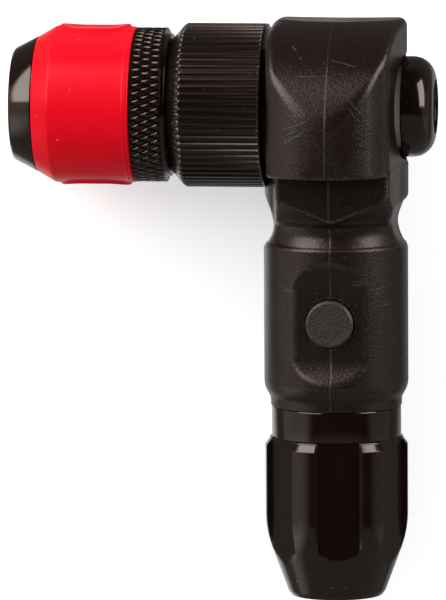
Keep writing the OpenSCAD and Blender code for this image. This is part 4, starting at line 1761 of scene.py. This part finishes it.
@dataclass
class HoseTail(Assembly):
    """Hose adapter and the fluted, tapered nut that clamps the hose."""

    r: float = 12.1
    length: float = 27.2
    taper_len: float = 8.1
    taper_angle: float = math.radians(20.4)
    blend_r: float = 17.5
    chamfer: float = 1.4
    crown: float = 0.38
    flutes: int = 6
    floor: float = 10.45
    half_w: float = 3.57
    wall_slope: float = 0.56
    flute_round: float = 0.12
    turn: float = math.radians(7.5)
    hose_r: float = 5.5
    mouth: float = 8.5
    cone_y1: float = 14.05
    cone_end_r: float = 8.6
    thread_r: float = 9.05
    ring_r: float = 10.95
    ring_y: float = 27.25
    grip_y: float = 32.5
    spigot_r: float = 8.0
    spigot_y: float = 41.0
    barb_y: float = 9.5
    thread_y0: float = 18.0
    stem_r: float = 9.0
    air_r: float = 1.7
    barb_r: Point = (2.5, 3.0)
    gland_r: float = 6.9
    gland_y: Point = (33.5, 35.1)
    far: float = 1e3

    def wall_radius(self, angle: Field) -> Field:
        """Distance of a flute's side wall from the axis.

        Args:
            angle: Angles from the flute's middle in radians.

        Returns:
            Radii in millimetres.
        """
        side = np.abs(angle)
        # The wall's points are x = half_w + slope * (z - floor), so that
        # r * sin(side) = half_w + slope * (r * cos(side) - floor).
        span = np.sin(side) - self.wall_slope * np.cos(side)
        lead = self.half_w - self.wall_slope * self.floor
        clear = np.abs(span) > 1e-6
        return np.where(clear, lead / np.where(clear, span, 1.0), self.far)

    def fluted(self, _: Field, r: Field, angle: Field) -> Field:
        """Radii of the nut with its flutes pressed in.

        Args:
            _: Stations, which the flutes don't depend on.
            r: Radii of the turned nut.
            angle: Angles from the nut's right-hand side in radians.

        Returns:
            The new radii.
        """
        sector = TAU / self.flutes
        local = (angle + TAU / 4 - self.turn + sector / 2) % sector - sector / 2
        flat_end = math.atan2(self.half_w, self.floor)
        wall = self.wall_radius(local)
        wall = np.where((np.abs(local) > flat_end) & (wall > 0), wall, self.far)
        flute = np.where(np.abs(local) <= flat_end, self.floor / np.cos(local), wall)
        pressed = np.minimum(r, -round_max(-r, -flute, self.flute_round))
        return np.where(r > self.floor - 1.0, pressed, r)

    def nut_profile(self) -> list[Point]:
        """Closed outline of the nut before its flutes are pressed in.

        Returns:
            Height and radius of each point.
        """
        tan = math.tan(self.taper_angle)
        base_r = self.r - self.blend_r * (1 - math.cos(self.taper_angle))
        edge_r = base_r - (self.taper_len - 0.8) * tan
        blend_y = self.taper_len + self.blend_r * math.sin(self.taper_angle)
        outer = rounded([(0.0, edge_r - 1.2, 0.0), (0.0, edge_r - 0.55, 0.25), (0.8, edge_r, 0.5),
                         (self.taper_len, base_r, 0.0)], 5)[1:-1]
        outer += [(float(y), base_r - (self.taper_len - float(y)) * tan)
                  for y in np.arange(outer[-1][0] + 0.6, self.taper_len, 0.6)]
        for step in range(13):
            a = self.taper_angle * (1 - step / 12)
            outer.append((blend_y - self.blend_r * math.sin(a),
                          self.r - self.blend_r * (1 - math.cos(a))))
        outer += [(float(y), self.r) for y in np.arange(blend_y + 1, self.length - 2.2, 1.5)]
        top, crown_r, chamfer_y = self.length, self.ring_r + self.crown, self.length - self.chamfer
        return [
            (0.0, edge_r - 1.2), *outer,
            *rounded([(top - 2.1, self.r, 0.0), (chamfer_y, self.r, 0.12),
                      (chamfer_y + 0.12, self.r - 0.084, 0.0), (top - 0.4, crown_r + 0.07, 0.0),
                      (top - 0.3, crown_r, 0.05), (top, crown_r - 0.03, 0.22),
                      (top, self.thread_r, 0.0)], 5),
            (self.cone_y1, self.thread_r), (self.cone_y1, self.cone_end_r),
            (self.mouth, self.hose_r), (0.4, self.hose_r), (0.1, self.hose_r + 0.2),
            (0.0, self.hose_r + 0.5), (0.0, edge_r - 1.2),
        ]

    def nut(self) -> bpy.types.Object:
        """Fluted nut: one sector is spun, its flute pressed in, and copied round.

        Returns:
            The nut.
        """
        piece = Bench.draw("fluted_nut", Axis.HANDLE, self.nut_profile())
        Bench.spin(piece, Axis.HANDLE, 48, TAU / self.flutes)
        Bench.press(piece, Axis.HANDLE, self.fluted)
        Bench.repeat(piece, Axis.HANDLE, self.flutes)
        Bench.close(piece, 4e-6)
        Bench.smooth(piece, 30)
        return piece

    def adapter(self) -> bpy.types.Object:
        """Turned adapter with its smooth ring, spigot, thread relief and barbs.

        Returns:
            The adapter.
        """
        pitch = (self.thread_y0 - self.barb_y) / 4
        low, high = self.barb_r
        corners = [(self.barb_y, self.air_r, 0.0)]
        for index in range(3):
            foot = self.barb_y + index * pitch
            corners += [(foot, low, 0.0), (foot + pitch - 0.3, high, 0.05),
                        (foot + pitch, low, 0.0)]
        corners += [
            (self.thread_y0, low, 0.0), (self.thread_y0, self.stem_r, 0.2),
            (self.ring_y, self.stem_r, 0.0), (self.ring_y, self.ring_r, 0.15),
            (self.grip_y, self.ring_r, 0.25), (self.grip_y, self.spigot_r, 0.0),
            (self.gland_y[0], self.spigot_r, 0.0), (self.gland_y[0], self.gland_r, 0.0),
            (self.gland_y[1], self.gland_r, 0.0), (self.gland_y[1], self.spigot_r, 0.0),
            (self.spigot_y, self.spigot_r, 0.3), (self.spigot_y, self.air_r, 0.0),
        ]
        return turned("hose_adapter_turning", Axis.HANDLE, ring_of(corners))

    def build(self) -> None:
        """Build the adapter and the nut and dress the ferrule and the ring."""
        self.fit(self.adapter(), "handle", "hose_adapter", "gloss_black_anodised", GLOSS_Y)
        self.fit(self.nut(), "nut", "hose_nut", "gloss_black_anodised", GLOSS_Y)
        self.keep(adapter_o_ring=RUBBER, clamp_ferrule=IVORY)


# --------------------------------------------------------------------- studio

@dataclass(frozen=True)
class Softbox:
    """Lamp, placed by angles from the camera in degrees and sized in metres."""

    name: str
    azimuth: float
    elevation: float
    size: Point
    radiance: float


@dataclass(frozen=True)
class Fade:
    """Eased ramp of the surroundings along one direction, from one level to another."""

    low: float
    high: float
    to_low: float
    to_high: float

    def along(self, graph: Graph, way: Socket) -> Socket:
        """Add the ramp's node."""
        return graph.span(way, self.low, self.high, self.to_low, self.to_high, smooth=True)


@dataclass
class Studio:
    """Camera, lamps, white surroundings and the table that the head lies on.

    Places are in millimetres; distances and the table's size are in metres.
    """

    aim: tuple[float, float, float] = (-19.27, 50.06, 0.0)
    towards: tuple[float, float, float] = (0.1192, 0.1317, 1.0)
    roll: float = math.radians(0.31)
    distance: float = 1.491
    lens: float = 528.0
    sensor: float = 36.0
    clip_end: float = 10.0
    lamps: tuple[Softbox, ...] = (
        Softbox("softbox_left", -50.0, 30.0, (0.46, 0.58), 4.4),
        Softbox("softbox_right", 60.0, 24.0, (0.3, 0.5), 4.6),
    )
    lamp_aim: tuple[float, float, float] = (-20.0, 60.0, 0.0)
    lamp_distance: float = 0.6
    front: Fade = Fade(-0.3, 0.25, 0.11, 0.008)
    behind: tuple[Fade, ...] = (Fade(-0.88, -0.6, 1.0, 0.0), Fade(0.15, 0.5, 1.0, 0.12),
                                Fade(-0.3, 0.3, 1.0, 0.35))
    below: Fade = Fade(-0.42, -0.3, 0.18, 0.0)
    cards: tuple[Fade, ...] = (Fade(-0.88, -0.66, 0.48, 0.0), Fade(0.78, 0.94, 0.0, 0.24))
    card_depth: Fade = Fade(-0.5, -0.25, 0.0, 1.0)
    card_rise: tuple[Fade, ...] = (Fade(0.2, 0.5, 1.0, 0.0), Fade(-0.5, -0.18, 2.2, 1.0))
    fill_level: float = 0.32
    table_normal: tuple[float, float, float] = (0.134, 0.0975, 1.0)
    table_spot: tuple[float, float, float] = (-1.0, 80.0, -19.95)
    table_size: float = 6.0
    table_white: Colour = (0.9, 0.9, 0.9, 1.0)
    table_glow: float = 0.55

    def axes(self) -> tuple[Vector, Vector, Vector]:
        """Right, up and backward directions of the camera.

        Returns:
            Three unit vectors.
        """
        back = Vector(self.towards).normalized()
        right = Vector((0, 1, 0)).cross(back).normalized()
        up = back.cross(right)
        cos, sin = math.cos(self.roll), math.sin(self.roll)
        return right * cos - up * sin, up * cos + right * sin, back

    @staticmethod
    def stand(name: str, data: bpy.types.ID, spot: Vector,
              axes: Sequence[Vector]) -> bpy.types.Object:
        """Put a camera or a lamp into the scene.

        Args:
            name: Name of the object.
            data: Its camera or light.
            spot: Its place in metres.
            axes: Its right, up and backward directions.

        Returns:
            The object.
        """
        thing = bpy.data.objects.new(name, data)
        bpy.context.scene.collection.objects.link(thing)
        thing.matrix_world = Matrix.Translation(spot) @ Matrix(axes).transposed().to_4x4()
        return thing

    def camera(self) -> None:
        """Add the camera."""
        right, up, back = self.axes()
        data = bpy.data.cameras.new("camera")
        data.sensor_fit = "VERTICAL"
        data.sensor_height = self.sensor
        data.lens = self.lens
        data.clip_end = self.clip_end
        bpy.context.scene.camera = self.stand(
            "camera", data, Vector(self.aim) * MM + back * self.distance, (right, up, back))

    def lamp(self, box: Softbox) -> None:
        """Add a softbox that faces the object.

        Args:
            box: Place, size and brightness, where 1 is a white card in full light.
        """
        right, up, back = self.axes()
        a, e = math.radians(box.azimuth), math.radians(box.elevation)
        out = (right * math.sin(a) + back * math.cos(a)) * math.cos(e) + up * math.sin(e)
        data = bpy.data.lights.new(box.name, "AREA")
        data.shape = "RECTANGLE"
        data.size, data.size_y = box.size
        data.energy = box.radiance * math.pi * box.size[0] * box.size[1]
        across = up.cross(out).normalized()
        self.stand(box.name, data, Vector(self.lamp_aim) * MM + out * self.lamp_distance,
                   (across, out.cross(across), out))

    def world(self) -> None:
        """White surroundings that gloss sees behind the object, and dim ones in front."""
        world = bpy.data.worlds.new("studio")
        bpy.context.scene.world = world
        world.use_nodes = True
        graph = Graph(world.node_tree)
        looking = graph.add("TexCoord").outputs["Generated"]
        across, rise, facing = (graph.vector("DOT_PRODUCT", looking, axis) for axis in self.axes())
        behind = graph.chain("MULTIPLY", *(
            fade.along(graph, way) for fade, way in zip(self.behind, (facing, rise, across))))
        cards = graph.chain("MAXIMUM", *(fade.along(graph, across) for fade in self.cards))
        cards = graph.chain("MULTIPLY", cards, self.card_depth.along(graph, facing),
                            *(fade.along(graph, rise) for fade in self.card_rise))
        level = graph.chain("MAXIMUM", self.front.along(graph, facing), behind,
                            self.below.along(graph, rise), cards)
        path = graph.add("LightPath").outputs
        level = graph.either(path["Is Diffuse Ray"], level, self.fill_level)
        level = graph.chain("MAXIMUM", level, path["Is Camera Ray"], path["Is Transmission Ray"])
        background = world.node_tree.nodes["Background"]
        graph.feed(background.inputs["Color"],
                   graph.fill(graph.add("CombineColor"), level, level, level))
        background.inputs["Strength"].default_value = 1.0

    def table(self) -> None:
        """White table top that the head, the nut and the sleeve rest on."""
        bpy.ops.object.select_all(action="DESELECT")
        bpy.ops.mesh.primitive_plane_add(size=1)
        table = Bench.named("table")
        with Editing(table):
            bpy.ops.mesh.subdivide(number_cuts=3)
        normal = Vector(self.table_normal).normalized()
        turn = Vector((0, 0, 1)).rotation_difference(normal).to_matrix().to_4x4()
        table.data.transform(Matrix.Translation(Vector(self.table_spot) * MM) @ turn
                             @ Matrix.Scale(self.table_size, 4))
        table.data.materials.append(self.table_top())

    def table_top(self) -> bpy.types.Material:
        """White top that gloss and views from below look through.

        Returns:
            The material.
        """
        material = bpy.data.materials.new("table_top")
        material.use_nodes = True
        skin = Skin(material)
        skin.set(Base_Color=self.table_white, Roughness=0.9, Specular_IOR_Level=0.0)
        path = skin.add("LightPath").outputs
        seen = skin.maths("MAXIMUM", path["Is Camera Ray"], path["Is Transmission Ray"])
        glow = skin.fill(skin.add("Emission"), WHITE, skin.maths("MULTIPLY", seen, self.table_glow))
        lit = skin.fill(skin.add("AddShader"), skin.shader.outputs[0], glow)
        side = skin.add("NewGeometry").outputs["Backfacing"]
        hidden = skin.maths("MAXIMUM", side, path["Is Glossy Ray"])
        top = skin.fill(skin.add("MixShader"), hidden, lit,
                        skin.add("BsdfTransparent").outputs[0])
        skin.feed(material.node_tree.nodes["Material Output"].inputs["Surface"], top)
        return material

    def build(self) -> None:
        """Set the studio up."""
        self.camera()
        for box in self.lamps:
            self.lamp(box)
        self.world()
        self.table()
        bpy.context.scene.view_settings.view_transform = "Standard"


def main() -> None:
    """Build the studio and every sub-assembly."""
    logging.basicConfig(level=logging.INFO, format="%(name)s %(message)s")
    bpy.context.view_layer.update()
    Studio().build()
    for assembly in (HandleMoulding(), BleedValve(), Swivel(), RibbedCollar(), LockSleeve(),
                     ValveChuck(), HoseTail()):
        assembly.build()
        LOG.info("%s done", type(assembly).__name__)
    bpy.context.view_layer.update()


if __name__ == "__main__":
    main()
